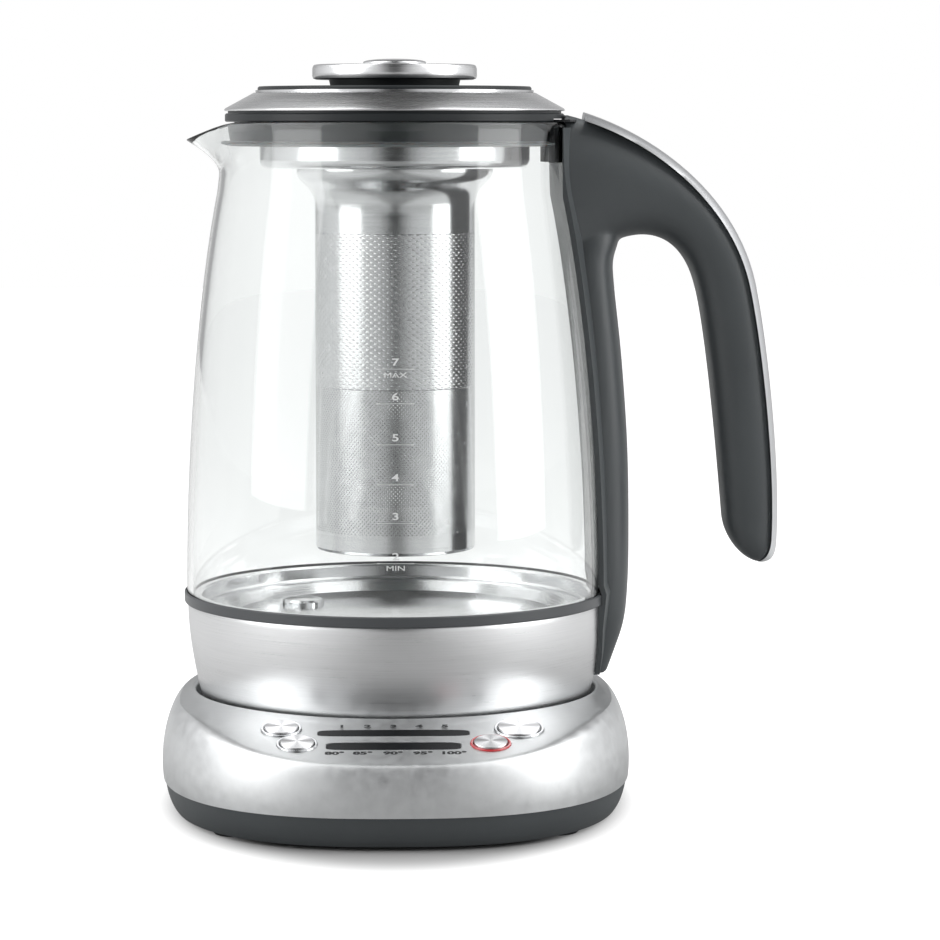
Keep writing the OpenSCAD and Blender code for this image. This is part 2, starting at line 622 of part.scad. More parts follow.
// plate that closes the jug from below and carries the socket
underside_r = skirt_low_r - 8.5;
underside_rim_w = 6;
underside_lap = 4;           // of the plate over the skirt's turned-in edge
underside_low_z = jug_low_z + 0.2;
underside_plate_z = jug_low_z + steel_wall;
underside_top_z = jug_low_z + 3.6;
socket_wall = 8.2;
socket_clear = 0.8;
socket_in_r = connector_d / 2 + socket_clear;
socket_r = socket_in_r + socket_wall;
socket_lip = 3;
socket_roof_t = 2.5;
socket_roof_z = connector_top_z + 1.3;
module jug_underside() color([0.20, 0.21, 0.22])
    revolve([[socket_r + fixed_gap, underside_plate_z], [underside_r - underside_rim_w, underside_plate_z],
        [underside_r - underside_rim_w, underside_low_z], [underside_r - 0.8, underside_low_z],
        [underside_r - 0.8, underside_plate_z], [underside_r + underside_lap, underside_plate_z + 0.6],
        [underside_r + underside_lap, underside_top_z], [socket_r + fixed_gap, underside_top_z]]);

module jug_socket() color([0.88, 0.87, 0.84])
    revolve([[socket_in_r, underside_low_z], [socket_r, underside_low_z], [socket_r, underside_top_z],
        [socket_r + socket_lip, underside_top_z], [socket_r + socket_lip, underside_top_z + 1.6],
        [socket_r, underside_top_z + 1.6], [socket_r, socket_roof_z + socket_roof_t],
        [0, socket_roof_z + socket_roof_t], [0, socket_roof_z], [socket_in_r - 1.4, socket_roof_z],
        [socket_in_r, socket_roof_z - 1.4]]);
contact_pin_r = 0.8;
contact_pin_gap = 0.3;
module socket_contacts() color([0.85, 0.66, 0.32])
    for (i = [0:len(contact_radii) - 1]) rotate([0, 0, 120 * i])
        translate([contact_radii[i], 0, connector_top_z + contact_pin_gap])
            cylinder(r = contact_pin_r, h = socket_roof_z - connector_top_z - contact_pin_gap);

// ---------- handle ----------

// outer and inner lines of the handle in [x, z], each a chain of three curves
grip_top_z = handle_top_z - 66.8;
head_out = [[jug_rim_r - 4.5, handle_top_z], [handle_reach - 53.3, handle_top_z - 6.3],
    [handle_reach - 17.3, handle_top_z - 30.3], [handle_reach - 9.1, grip_top_z]];
head_in = [[jug_rim_r - 3.5, handle_top_z - 66.3], [handle_reach - 62.3, handle_top_z - 43.8],
    [handle_reach - 39.3, handle_top_z - 41.3], [handle_reach - 32.3, grip_top_z]];
grip_out = [head_out[3], [handle_reach - 4.3, grip_top_z - 21.5], [handle_reach + 1.4, handle_tip_z + 34],
    [handle_reach - 0.3, handle_tip_z + 7]];
grip_in = [head_in[3], [handle_reach - 27.8, grip_top_z - 15.5], [handle_reach - 23.3, handle_tip_z + 42],
    [handle_reach - 21.2, handle_tip_z + 18]];
tip_out = [grip_out[3], [handle_reach - 0.6, handle_tip_z + 2.5], [handle_reach - 1.8, handle_tip_z],
    [handle_reach - 5, handle_tip_z]];
tip_in = [grip_in[3], [handle_reach - 20.8, handle_tip_z + 10], [handle_reach - 14.5, handle_tip_z + 1],
    [handle_reach - 8, handle_tip_z]];
head_steps = 8;
grip_steps = 5;
tip_steps = 4;
function handle_line(head, grip, tip) = concat(curve_points(head, head_steps),
    curve_points(grip, grip_steps, 1), curve_points(tip, tip_steps, 1));
handle_out = handle_line(head_out, grip_out, tip_out);
handle_in = handle_line(head_in, grip_in, tip_in);
handle_last = len(handle_out) - 1;
function handle_half_w(i) = i <= head_steps ? mix(head_half_w, grip_half_w, sin(90 * i / head_steps))
    : i <= head_steps + grip_steps ? mix(grip_half_w, grip_half_w - 1.5, (i - head_steps) / grip_steps)
    : mix(grip_half_w - 1.5, grip_half_w - 7, pow((i - head_steps - grip_steps) / tip_steps, 2));
handle_squareness = 3;

// a flat section between two points of the handle's side view
module handle_slice(a, b, half_w) {
    across = a - b;
    translate([(a.x + b.x) / 2, 0, (a.y + b.y) / 2]) rotate([0, -atan2(across.y, across.x), 0])
        linear_extrude(slice_t) polygon(superellipse(norm(across) / 2, half_w, handle_squareness, 24));
}
module handle_loft()
    for (i = [0:handle_last - 1]) hull() {
        handle_slice(handle_out[i], handle_in[i], handle_half_w(i));
        handle_slice(handle_out[i + 1], handle_in[i + 1], handle_half_w(i + 1));
    }
// band along the handle's back, trim_t deep, that parts the steel strip from the shell
trim_start = 0.09;           // how far along the head's curve the strip starts
function inward(i) = (handle_in[i] - handle_out[i]) / norm(handle_in[i] - handle_out[i]);
module back_band() {
    hull() {
        band_slice(curve(head_out, trim_start), inward(1));
        band_slice(handle_out[1], inward(1));
    }
    for (i = [1:handle_last - 1]) hull() {
        band_slice(handle_out[i], inward(i));
        band_slice(handle_out[i + 1], inward(i + 1));
    }
}
module band_slice(p, way) translate([p.x, 0, p.y]) rotate([0, -atan2(-way.y, -way.x), 0])
    translate([-trim_t, -2 * head_half_w, 0]) cube([trim_t + 4, 4 * head_half_w, slice_t]);

// heights up the spine's rib with its reach and half width
rib_stations = [[spine_low_z, spine_reach - 8.4, 8], [spine_low_z + 9, spine_reach - 5.2, 10.5],
    [spine_low_z + 19, spine_reach - 2, 12.5], [spine_low_z + 30, spine_reach - 0.6, 14],
    [spine_low_z + 50, spine_reach, 15], [mix(spine_low_z, rim_z, 0.41), spine_reach - 0.6, 16],
    [mix(spine_low_z, rim_z, 0.574), spine_reach - 3, 17], [grip_top_z, spine_reach - 6.1, 18],
    [grip_top_z + 9, spine_reach - 6.4, 18], [grip_top_z + 18, spine_reach - 4.5, 16.5],
    [grip_top_z + 30, spine_reach - 9, 12]];
spine_in_x = neck_in_r - 1.3;
module rib_slice(s) translate([(s[1] + spine_in_x) / 2, 0, s[0]]) linear_extrude(slice_t)
    polygon(superellipse((s[1] - spine_in_x) / 2, s[2], 2.6, 28));
// the jug's outside, grown by a gap, from the skirt to the rim
jug_envelope = concat([[0, jug_low_z]], [for (i = [6:-1:1]) curve(skirt_turn, i / 6)],
    [for (i = [7:-1:0]) curve(skirt_side, i / 7)],
    [[jug_foot_r + gasket_proud, skirt_top_z], [jug_foot_r + gasket_proud, gasket_top_z]],
    [for (p = glass_line) if (p.y > gasket_top_z) p], [[jug_rim_r, rim_z], [0, rim_z]]);
// half widths of the flange that hugs the jug beside the spine, with their heights
flange_side = [[9, spine_low_z + 0.3], [15, spine_low_z + 9], [20, spine_low_z + 19],
    [spine_flange_half_w - 3.5, gasket_top_z], [spine_flange_half_w + 1, mix(gasket_top_z, rim_z, 0.3)],
    [spine_flange_half_w + 3, mix(gasket_top_z, rim_z, 0.6)], [spine_flange_half_w, rim_z - 2]];
module spine_flange() intersection() {
    rotate_extrude($fn = 72) polygon([for (p = jug_envelope) [p.x == 0 ? 0 : p.x + spine_flange_t, p.y]]);
    last = len(flange_side) - 1;
    other_side = [for (i = [last:-1:0]) [-flange_side[i].x, flange_side[i].y]];
    rotate([90, 0, 90]) linear_extrude(far) polygon(concat(flange_side, other_side));
}
module spine_loft() {
    for (i = [0:len(rib_stations) - 2]) hull() {
        rib_slice(rib_stations[i]);
        rib_slice(rib_stations[i + 1]);
    }
    spine_flange();
}
lid_clear = 1.1;             // gap between the lid's flange and the handle's head
module jug_clearance() {
    rotate_extrude($fn = 72) polygon([for (p = jug_envelope) [p.x == 0 ? 0 : p.x + handle_gap, p.y]]);
    translate([0, 0, rim_z - 1]) cylinder(r = flange_r + lid_clear, h = far, $fn = 72);
}
bracket_low_z = spine_low_z + 3;
bracket_size = [6.8, 10, 11];
bracket_screw_x = skirt_low_r + 4.2;
bracket_screw_r = 1.25;
module bracket_block(grow) translate([skirt_low_r - grow, -bracket_size.y / 2 - grow, bracket_low_z - grow])
    cube(bracket_size + 2 * grow * [1, 1, 1]);

module handle_shell() color([0.29, 0.31, 0.32]) difference() {
    union() {
        handle_loft();
        spine_loft();
    }
    back_band();
    jug_clearance();
    bracket_block(fixed_gap);
    translate([bracket_screw_x, 0, 0])
        cylinder(r = bracket_screw_r + 0.35, h = bracket_low_z + 1, $fn = 16);
    handle_sector(neck_in_r - 10, clamp_out_r + fixed_gap, clamp_angle + 1,
        rim_z - 1, rim_z + 1 + fixed_gap);
}
module handle_trim() color([0.80, 0.81, 0.82]) intersection() {
    difference() {
        handle_loft();
        jug_clearance();
    }
    back_band();
}

// clamp that hooks over the glass rim and holds the handle's head to the neck
clamp_in_r = neck_in_r - 3.3;
clamp_drop = 15;
clamp_out_r = jug_rim_r + 3.5;
module rim_clamp() color([0.13, 0.14, 0.14]) {
    handle_sector(clamp_in_r, neck_in_r - handle_gap, clamp_angle, rim_z - clamp_drop, rim_z + handle_gap);
    handle_sector(clamp_in_r, clamp_out_r, clamp_angle, rim_z + handle_gap, rim_z + 1);
}

// tab on the skirt inside the spine's foot, and the screw that ties the spine to it
module spine_bracket() color([0.7, 0.71, 0.72]) difference() {
    bracket_block(0);
    rotate_extrude() polygon(jug_envelope);
    translate([bracket_screw_x, 0, 0]) cylinder(r = bracket_screw_r, h = bracket_low_z + 3);
}
module spine_screw() color([0.6, 0.61, 0.62])
    translate([bracket_screw_x, 0, bracket_low_z - 0.9])
        screw(bracket_screw_r + 0.25, 1, bracket_screw_r, 2);

// ---------- lid ----------

// the cone's outer line runs from the flange's edge to the seat for the basket's lip
cone_low_z = flange_top_z + 0.9;
cone_low_r = flange_r + 0.2;
cone_top_r = lip_r + 0.5;
sheet_t = 1.1;
module lid_cone_ring() color([0.80, 0.81, 0.82])
    revolve([[lid_opening_r, lid_top_z - sheet_t], [cone_top_r - 0.2, lid_top_z - sheet_t],
        [cone_low_r - 1.2, cone_low_z], [cone_low_r, cone_low_z], [cone_low_r, cone_low_z + 0.7],
        [cone_low_r - 0.5, cone_low_z + 1.1], [cone_top_r + 0.6, lid_top_z - 0.1],
        [cone_top_r, lid_top_z], [lid_opening_r, lid_top_z]]);

// dark body of the lid: the flange on the rim and the core under the cone
notch_angle = clamp_angle + 6;
module clamp_notch(low, top) handle_sector(clamp_in_r - 0.5, far, notch_angle, low, top);
module lid_flange_ring() color([0.18, 0.19, 0.20]) difference() {
    revolve([[lid_opening_r, flange_z], [flange_r - 0.4, flange_z], [flange_r, flange_z + 0.4],
        [flange_r, flange_top_z - 0.5], [flange_r - 0.5, flange_top_z], [cone_low_r - 1.3, flange_top_z],
        [cone_low_r - 1.3, cone_low_z], [cone_top_r - 0.3, lid_top_z - sheet_t],
        [lid_opening_r, lid_top_z - sheet_t]]);
    clamp_notch(flange_z - 1, rim_z + 1.3);
}
plug_wall = 2;
module lid_plug() color([0.42, 0.45, 0.46]) difference() {
    revolve([[lid_opening_r, plug_low_z], [plug_r, plug_low_z], [plug_r, flange_z],
        [plug_r - plug_wall, flange_z], [plug_r - plug_wall, plug_low_z + plug_wall],
        [lid_opening_r + plug_wall, plug_low_z + plug_wall], [lid_opening_r + plug_wall, flange_z],
        [lid_opening_r, flange_z]]);
    clamp_notch(plug_low_z - 1, flange_z + 1);
}
// soft ring under the plug, whose lip closes the gap to the glass
seal_h = 1.9;
seal_low_z = plug_low_z - seal_h;
seal_r = neck_in_r - seal_clear;
seal_in_r = pan_r + 3;
module lid_seal() color([0.52, 0.55, 0.56]) difference() {
    revolve([[seal_in_r, seal_low_z], [neck_in_r - 2, seal_low_z], [seal_r, seal_low_z + 0.6],
        [seal_r, plug_low_z - 0.9], [plug_r + 0.3, plug_low_z - 0.4], [plug_r, plug_low_z],
        [seal_in_r, plug_low_z]]);
    clamp_notch(seal_low_z - 1, plug_low_z + 1);
}

// ---------- basket ----------

pan_corner = 3;
// wide pan that hangs from its lip in the lid's opening
corner_at = [pan_r - pan_corner, pan_low_z + pan_corner];
module basket_pan() color([0.82, 0.83, 0.84]) {
    corner = [for (i = [0:5]) corner_at + pan_corner * [cos(18 * i), -sin(18 * i)]];
    inside = [for (i = [5:-1:0]) corner_at + (pan_corner - basket_wall) * [cos(18 * i), -sin(18 * i)]];
    revolve(concat([[pan_r - basket_wall, lip_top_z], [lip_r, lip_top_z], [lip_r, lip_low_z],
        [pan_r, lip_low_z]], corner, [[collar_r - basket_wall, pan_low_z],
        [collar_r - basket_wall, pan_low_z + basket_wall]], inside));
}
// flared collar between the pan and the tube
collar_curve = [[collar_r, pan_low_z - 2], [collar_r - 4.5, pan_low_z - 3.5],
    [tube_r, pan_low_z - 6], [tube_r, pan_low_z - 11.5]];
module basket_collar() color([0.82, 0.83, 0.84]) {
    line = concat([[collar_r, pan_low_z]], curve_points(collar_curve, 7), [[tube_r, tube_top_z]]);
    revolve(sheet(line, basket_wall));
}
// perforated tube, in which every second ring of holes is turned by half a pitch
perforation_low_z = tube_low_z + 6;
perforation_top_z = tube_top_z - 7;
module basket_sleeve() color([0.78, 0.79, 0.80]) difference() {
    ring(tube_r - basket_wall, tube_r, tube_low_z, tube_top_z);
    for (row = [0:hole_rows - 1], i = [0:holes_round - 1])
        translate([0, 0, mix(perforation_low_z, perforation_top_z, row / (hole_rows - 1))])
            rotate([0, 90, (i + (row % 2) / 2) * 360 / holes_round])
                translate([0, 0, tube_r - 3 * basket_wall])
                    cylinder(d = hole_d, h = 4 * basket_wall, $fn = 16);
}
// closed end of the tube
module basket_cup() color([0.82, 0.83, 0.84])
    revolve([[0, basket_low_z], [tube_r - 1.2, basket_low_z], [tube_r - 0.3, basket_low_z + 0.3],
        [tube_r, basket_low_z + 1.2], [tube_r, tube_low_z], [tube_r - basket_wall, tube_low_z],
        [tube_r - basket_wall, basket_low_z + 1.4], [tube_r - 1.4, basket_low_z + basket_wall],
        [0, basket_low_z + basket_wall]]);

// ---------- basket lid ----------

cap_plug_r = pan_r - basket_wall - 0.9;
cap_plug_h = 4;
cap_plug_z = cap_low_z - cap_plug_h;
knob_screw_r = 2;
knob_bore_r = knob_screw_r + fixed_gap;
module basket_lid_disc() color([0.20, 0.21, 0.22])
    revolve([[knob_bore_r, cap_low_z], [cap_plug_r - 2, cap_low_z], [cap_plug_r - 2, cap_plug_z],
        [cap_plug_r, cap_plug_z], [cap_plug_r, cap_low_z], [cap_disc_r, cap_low_z],
        [cap_disc_r, cap_top_z - 0.5], [cap_disc_r - 0.5, cap_top_z], [knob_bore_r, cap_top_z]]);
module basket_lid_seal() color([0.50, 0.52, 0.53])
    revolve([[cap_plug_r, cap_plug_z + 0.6], [cap_plug_r + 0.6, cap_plug_z + 1.6],
        [cap_plug_r + 0.6, cap_plug_z + 2.2], [cap_plug_r, cap_plug_z + 3]]);
module knob_neck() color([0.13, 0.13, 0.14])
    revolve([[knob_bore_r, cap_top_z], [knob_neck_r - 0.6, cap_top_z], [knob_neck_r, knob_low_z],
        [knob_bore_r, knob_low_z]]);
// flat disc with a turned rim and a recess that takes the raised centre
recess_r = knob_centre_r + fixed_gap;
recess_z = knob_top_z - 2.4;
module knob_cap() color([0.80, 0.81, 0.82])
    revolve([[knob_bore_r, knob_low_z], [knob_r - 1.2, knob_low_z], [knob_r, knob_low_z + 1.2],
        [knob_r, knob_top_z - 1.3], [knob_r - 0.4, knob_top_z - 0.4], [knob_r - 1.4, knob_top_z],
        [recess_r, knob_top_z], [recess_r, recess_z], [knob_bore_r, recess_z]]);
centre_rise = 2.2;
module knob_centre() color([0.84, 0.85, 0.86])
    revolve([[0, recess_z], [knob_centre_r, recess_z], [knob_centre_r, knob_top_z + 0.3],
        [knob_centre_r - 0.8, knob_top_z + 0.9], [knob_centre_r * 0.6, knob_top_z + centre_rise - 0.3],
        [0, knob_top_z + centre_rise]]);
knob_head_r = 3.6;
module knob_screw() color([0.6, 0.61, 0.62])
    revolve([[0, cap_low_z - 2], [knob_head_r, cap_low_z - 2], [knob_head_r, cap_low_z],
        [knob_screw_r, cap_low_z], [knob_screw_r, recess_z - 0.2], [0, recess_z - 0.2]]);

on_stand() base_top_cover();
on_stand() base_lower_tray();
on_stand() foot_pads();
on_stand() lead_gland();
on_stand() base_screws();
on_stand() base_connector();
on_stand() contact_rings();
on_stand() control_board();
on_stand() tact_switches();
on_stand() indicator_lights();
on_stand() upper_window();
on_stand() lower_window();
on_stand() brew_time_ring();
on_stand() temperature_ring();
on_stand() start_timer_ring();
on_stand() start_stop_ring();
on_stand() brew_time_button();
on_stand() temperature_button();
on_stand() start_timer_button();
on_stand() start_stop_button();
on_stand() glass_jug();
on_stand() jug_gasket();
on_stand() boiler_skirt();
on_stand() boiler_floor();
on_stand() sensor_cap();
on_stand() heat_plate();
on_stand() heating_element();
on_stand() jug_underside();
on_stand() jug_socket();
on_stand() socket_contacts();
on_stand() handle_shell();
on_stand() handle_trim();
on_stand() rim_clamp();
on_stand() spine_bracket();
on_stand() spine_screw();
on_stand() lid_cone_ring();
on_stand() lid_flange_ring();
on_stand() lid_plug();
on_stand() lid_seal();
on_stand() basket_pan();
on_stand() basket_collar();
on_stand() basket_sleeve();
on_stand() basket_cup();
on_stand() basket_lid_disc();
on_stand() basket_lid_seal();
on_stand() knob_neck();
on_stand() knob_cap();
on_stand() knob_centre();
on_stand() knob_screw();
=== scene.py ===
"""Looks of the automatic tea maker: its finishes, and the shells, glass, handle and perforated
basket modelled in full round the fixed frame. Sizes are in millimetres about the jug's upright
centre line, and MM turns them into the frame's metres."""

import math

import bmesh
import bpy
from mathutils import Matrix, Vector

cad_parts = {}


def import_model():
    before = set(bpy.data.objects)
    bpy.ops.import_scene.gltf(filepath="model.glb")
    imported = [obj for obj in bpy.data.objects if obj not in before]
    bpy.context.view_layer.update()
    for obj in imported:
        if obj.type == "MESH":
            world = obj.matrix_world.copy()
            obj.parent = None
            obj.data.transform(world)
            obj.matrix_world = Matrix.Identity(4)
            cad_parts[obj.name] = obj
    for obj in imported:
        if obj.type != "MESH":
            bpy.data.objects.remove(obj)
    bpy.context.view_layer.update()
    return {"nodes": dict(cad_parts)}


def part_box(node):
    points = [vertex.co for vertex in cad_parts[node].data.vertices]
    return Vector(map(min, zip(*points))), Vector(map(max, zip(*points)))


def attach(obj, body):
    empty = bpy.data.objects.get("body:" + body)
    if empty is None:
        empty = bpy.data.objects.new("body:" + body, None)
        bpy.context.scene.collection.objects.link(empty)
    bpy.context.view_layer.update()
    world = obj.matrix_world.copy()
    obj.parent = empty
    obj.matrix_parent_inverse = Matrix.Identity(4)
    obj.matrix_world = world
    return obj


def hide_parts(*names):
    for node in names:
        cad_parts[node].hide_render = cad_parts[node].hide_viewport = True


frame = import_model()

MM = 0.001
NODES = frame["nodes"]


def middle_of(node):
    """Middle of a CAD node's box."""
    low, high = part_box(node)
    return (low + high) / 2


def heights(node):
    """Lowest and highest point of a CAD node, in millimetres."""
    low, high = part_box(node)
    return low.z / MM, high.z / MM


def half_width(node):
    """Half of a CAD node's width along X, in millimetres."""
    low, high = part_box(node)
    return (high.x - low.x) / 2 / MM


axis = middle_of("knob_cap")
AXIS = Vector((axis.x, axis.y, 0))


# ---------------------------------------------------------------- curves

def mix(a, b, t):
    return a + (b - a) * t


def curve(points, t):
    """Point of a cubic curve with four control points."""
    weights = ((1 - t) ** 3, 3 * t * (1 - t) ** 2, 3 * t * t * (1 - t), t ** 3)
    return tuple(sum(w * p[i] for w, p in zip(weights, points)) for i in range(2))


def curve_points(points, steps, first=0):
    return [curve(points, i / steps) for i in range(first, steps + 1)]


def signed_power(value, power):
    return math.copysign(abs(value) ** power, value)


def squared_oval(half_a, half_b, squareness, sides):
    """Closed outline between an ellipse and a rectangle."""
    turns = [math.tau * i / sides for i in range(sides)]
    return [(half_a * signed_power(math.cos(t), 2 / squareness),
             half_b * signed_power(math.sin(t), 2 / squareness)) for t in turns]


def smooth_min(a, b, blend):
    """The lower of two heights, with the edge between them rounded over the given blend."""
    h = max(blend - abs(a - b), 0) / blend
    return min(a, b) - h * h * blend / 4


# ---------------------------------------------------------------- making pieces

ROUND_STEPS = 192
WELD = 0.0005 * MM


def deselect():
    bpy.ops.object.select_all(action="DESELECT")


def pick(piece):
    """Makes the piece the only one selected, and active."""
    deselect()
    piece.select_set(True)
    bpy.context.view_layer.objects.active = piece


def edit(piece):
    pick(piece)
    bpy.ops.object.mode_set(mode="EDIT")


def leave_edit():
    bpy.ops.object.mode_set(mode="OBJECT")


def clean_up(piece, crease=30):
    """Welds doubles, turns the faces outwards and smooths the shading up to the crease angle."""
    edit(piece)
    bpy.ops.mesh.select_all(action="SELECT")
    bpy.ops.mesh.remove_doubles(threshold=WELD)
    bpy.ops.mesh.normals_make_consistent(inside=False)
    leave_edit()
    bpy.ops.object.shade_smooth_by_angle(angle=math.radians(crease))
    return piece


def apply_modifiers(piece):
    pick(piece)
    for modifier in list(piece.modifiers):
        bpy.ops.object.modifier_apply(modifier=modifier.name)
    return piece


def round_edges(piece, width, segments=3, limit=30, crease=30):
    """Rounds every edge sharper than the limit by the width in millimetres."""
    bevel = piece.modifiers.new("rounding", "BEVEL")
    bevel.width = width * MM
    bevel.segments = segments
    bevel.limit_method = "ANGLE"
    bevel.angle_limit = math.radians(limit)
    bevel.miter_outer = "MITER_ARC"
    apply_modifiers(piece)
    return clean_up(piece, crease)


def put_at(piece, place, turn=(0, 0, 0)):
    """Turns and moves a piece that was made about the origin, and bakes that into its mesh."""
    piece.rotation_euler = turn
    piece.location = place
    pick(piece)
    bpy.ops.object.transform_apply(location=True, rotation=True, scale=True)
    return piece


def turned(name, line, steps=ROUND_STEPS, closed=True, round_by=0.0):
    """Spins a line of (radius, height) points about the upright through the origin."""
    deselect()
    bpy.ops.mesh.primitive_plane_add(size=MM, location=(0, 0, 0))
    piece = bpy.context.object
    piece.name = name
    bpy.ops.object.mode_set(mode="EDIT")
    bpy.ops.mesh.merge(type="CENTER")
    bpy.ops.transform.translate(value=(line[0][0] * MM, 0, line[0][1] * MM))
    for (r0, z0), (r1, z1) in zip(line, line[1:]):
        step = ((r1 - r0) * MM, 0, (z1 - z0) * MM)
        bpy.ops.mesh.extrude_vertices_move(TRANSFORM_OT_translate={"value": step})
    if closed:
        mesh = bmesh.from_edit_mesh(piece.data)
        mesh.verts.ensure_lookup_table()
        ends = [v for v in mesh.verts if len(v.link_edges) == 1]
        bpy.ops.mesh.select_all(action="DESELECT")
        for vert in ends:
            vert.select = True
        mesh.select_flush_mode()
        bmesh.update_edit_mesh(piece.data)
        bpy.ops.mesh.edge_face_add()
    bpy.ops.mesh.select_all(action="SELECT")
    bpy.ops.mesh.spin(steps=steps, angle=math.tau, center=(0, 0, 0), axis=(0, 0, 1))
    leave_edit()
    clean_up(piece)
    if round_by:
        round_edges(piece, round_by)
    return piece


def on_axis(name, line, **options):
    """A turned piece about the jug's centre line."""
    return put_at(turned(name, line, **options), AXIS)


def bridged(name, rings, loop=False):
    """A skin over closed rings with equally many points, each bridged to the next.
    The rings are bridged as a stack of plain circles, and their points then go to their places.
    With loop, the last ring meets the first, and otherwise both ends are closed by a face."""
    deselect()
    sides = len(rings[0])
    bpy.ops.mesh.primitive_circle_add(vertices=sides, radius=1)
    piece = bpy.context.object
    piece.name = name
    bpy.ops.object.mode_set(mode="EDIT")
    for i in range(1, len(rings)):
        bpy.ops.mesh.primitive_circle_add(vertices=sides, radius=1, location=(0, 0, i))
    pairs = [(i, i + 1) for i in range(len(rings) - 1)] + ([(len(rings) - 1, 0)] if loop else [])
    for first, second in pairs:
        select_rings(piece, sides, (first, second))
        bpy.ops.mesh.bridge_edge_loops(use_merge=False, twist_offset=0)
    if not loop:
        for end in (0, len(rings) - 1):
            select_rings(piece, sides, (end,))
            bpy.ops.mesh.edge_face_add()
    mesh = bmesh.from_edit_mesh(piece.data)
    mesh.verts.ensure_lookup_table()
    for i, ring in enumerate(rings):
        for j, point in enumerate(ring):
            mesh.verts[i * sides + j].co = Vector(point) * MM + AXIS
    bmesh.update_edit_mesh(piece.data)
    leave_edit()
    return clean_up(piece)


def select_rings(piece, sides, which):
    """Selects the edges round some of the rings that bridged() laid."""
    bpy.ops.mesh.select_all(action="DESELECT")
    mesh = bmesh.from_edit_mesh(piece.data)
    mesh.verts.ensure_lookup_table()
    for ring in which:
        own = mesh.verts[ring * sides:(ring + 1) * sides]
        for vert, other in zip(own, own[1:] + own[:1]):
            mesh.edges.get((vert, other)).select = True
    mesh.select_flush_mode()
    bmesh.update_edit_mesh(piece.data)


def cut(piece, *cutters):
    """Takes the cutters out of the piece and removes them."""
    for cutter in cutters:
        boolean = piece.modifiers.new("cut", "BOOLEAN")
        boolean.operation = "DIFFERENCE"
        boolean.solver = "MANIFOLD"
        boolean.object = cutter
        apply_modifiers(piece)
        bpy.data.objects.remove(cutter)
    return clean_up(piece)


def joined(name, *parts):
    """Makes several meshes one piece."""
    deselect()
    for part in parts:
        part.select_set(True)
    bpy.context.view_layer.objects.active = parts[0]
    bpy.ops.object.join()
    parts[0].name = name
    return parts[0]


def dress(node, finish):
    """Gives a CAD node that keeps its own shape its finish."""
    slots = NODES[node].data.materials
    slots.clear()
    slots.append(finish)


def fit(piece, finish, body, slot, *replaced):
    """Gives a new piece its finish and its body, and hides the nodes that it stands for. The slot is not used."""
    piece.data.materials.clear()
    piece.data.materials.append(finish)
    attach(piece, body)
    if replaced:
        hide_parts(*replaced)
    return piece


# ---------------------------------------------------------------- finishes

def material(name, colour, roughness=0.5, metallic=0.0, **sockets):
    """A plain surface, to which the functions below add grain, wear and, on the buttons, painted highlights."""
    finish = bpy.data.materials.new(name)
    finish.use_nodes = True
    surface = finish.node_tree.nodes["Principled BSDF"]
    surface.inputs["Base Color"].default_value = (*colour, 1)
    surface.inputs["Roughness"].default_value = roughness
    surface.inputs["Metallic"].default_value = metallic
    for socket, value in sockets.items():
        surface.inputs[socket.replace("_", " ")].default_value = value
    return finish


def add_node(finish, kind, **inputs):
    new = finish.node_tree.nodes.new(kind)
    for socket, value in inputs.items():
        new.inputs[socket.replace("_", " ")].default_value = value
    return new


def connect(finish, source, output, target, socket):
    finish.node_tree.links.new(source.outputs[output], target.inputs[socket])


def surface_of(finish):
    return finish.node_tree.nodes["Principled BSDF"]


def grain(finish, size, centre=(0, 0, 0), detail=3.0):
    """Noise whose grain has the given size along each axis, in metres, about the centre."""
    place = add_node(finish, "ShaderNodeTexCoord")
    mapping = add_node(finish, "ShaderNodeMapping", Location=centre, Scale=size)
    mapping.vector_type = "TEXTURE"
    noise = add_node(finish, "ShaderNodeTexNoise", Scale=1.0, Detail=detail, Roughness=0.6)
    connect(finish, place, "Object", mapping, "Vector")
    connect(finish, mapping, "Vector", noise, "Vector")
    return noise


def ring_grain(finish, size, centre, detail=2.0):
    """Noise in fine rings about an upright through the centre, as a lathe leaves it."""
    place = add_node(finish, "ShaderNodeTexCoord")
    mapping = add_node(finish, "ShaderNodeMapping", Location=centre)
    mapping.vector_type = "TEXTURE"
    flat = add_node(finish, "ShaderNodeVectorMath")
    flat.operation = "MULTIPLY"
    flat.inputs[1].default_value = (1, 1, 0)
    reach = add_node(finish, "ShaderNodeVectorMath")
    reach.operation = "LENGTH"
    scaled = add_node(finish, "ShaderNodeMath")
    scaled.operation = "DIVIDE"
    scaled.inputs[1].default_value = size
    noise = add_node(finish, "ShaderNodeTexNoise", Scale=1.0, Detail=detail, Roughness=0.6)
    noise.noise_dimensions = "1D"
    connect(finish, place, "Object", mapping, "Vector")
    connect(finish, mapping, "Vector", flat, 0)
    connect(finish, flat, "Vector", reach, 0)
    connect(finish, reach, "Value", scaled, 0)
    connect(finish, scaled, "Value", noise, "W")
    return noise


def vary(finish, noise, socket, low, high):
    """Lets the noise drive a socket of the surface between two values."""
    spread = add_node(finish, "ShaderNodeMapRange")
    spread.inputs["From Min"].default_value = 0.3
    spread.inputs["From Max"].default_value = 0.7
    spread.inputs["To Min"].default_value = low
    spread.inputs["To Max"].default_value = high
    connect(finish, noise, "Fac", spread, "Value")
    connect(finish, spread, "Result", surface_of(finish), socket)


def tint(finish, noise, dark, light):
    """Lets the noise vary the colour between two colours."""
    ramp = add_node(finish, "ShaderNodeValToRGB")
    ramp.color_ramp.elements[0].position = 0.3
    ramp.color_ramp.elements[0].color = (*dark, 1)
    ramp.color_ramp.elements[1].position = 0.7
    ramp.color_ramp.elements[1].color = (*light, 1)
    connect(finish, noise, "Fac", ramp, "Fac")
    connect(finish, ramp, "Color", surface_of(finish), "Base Color")


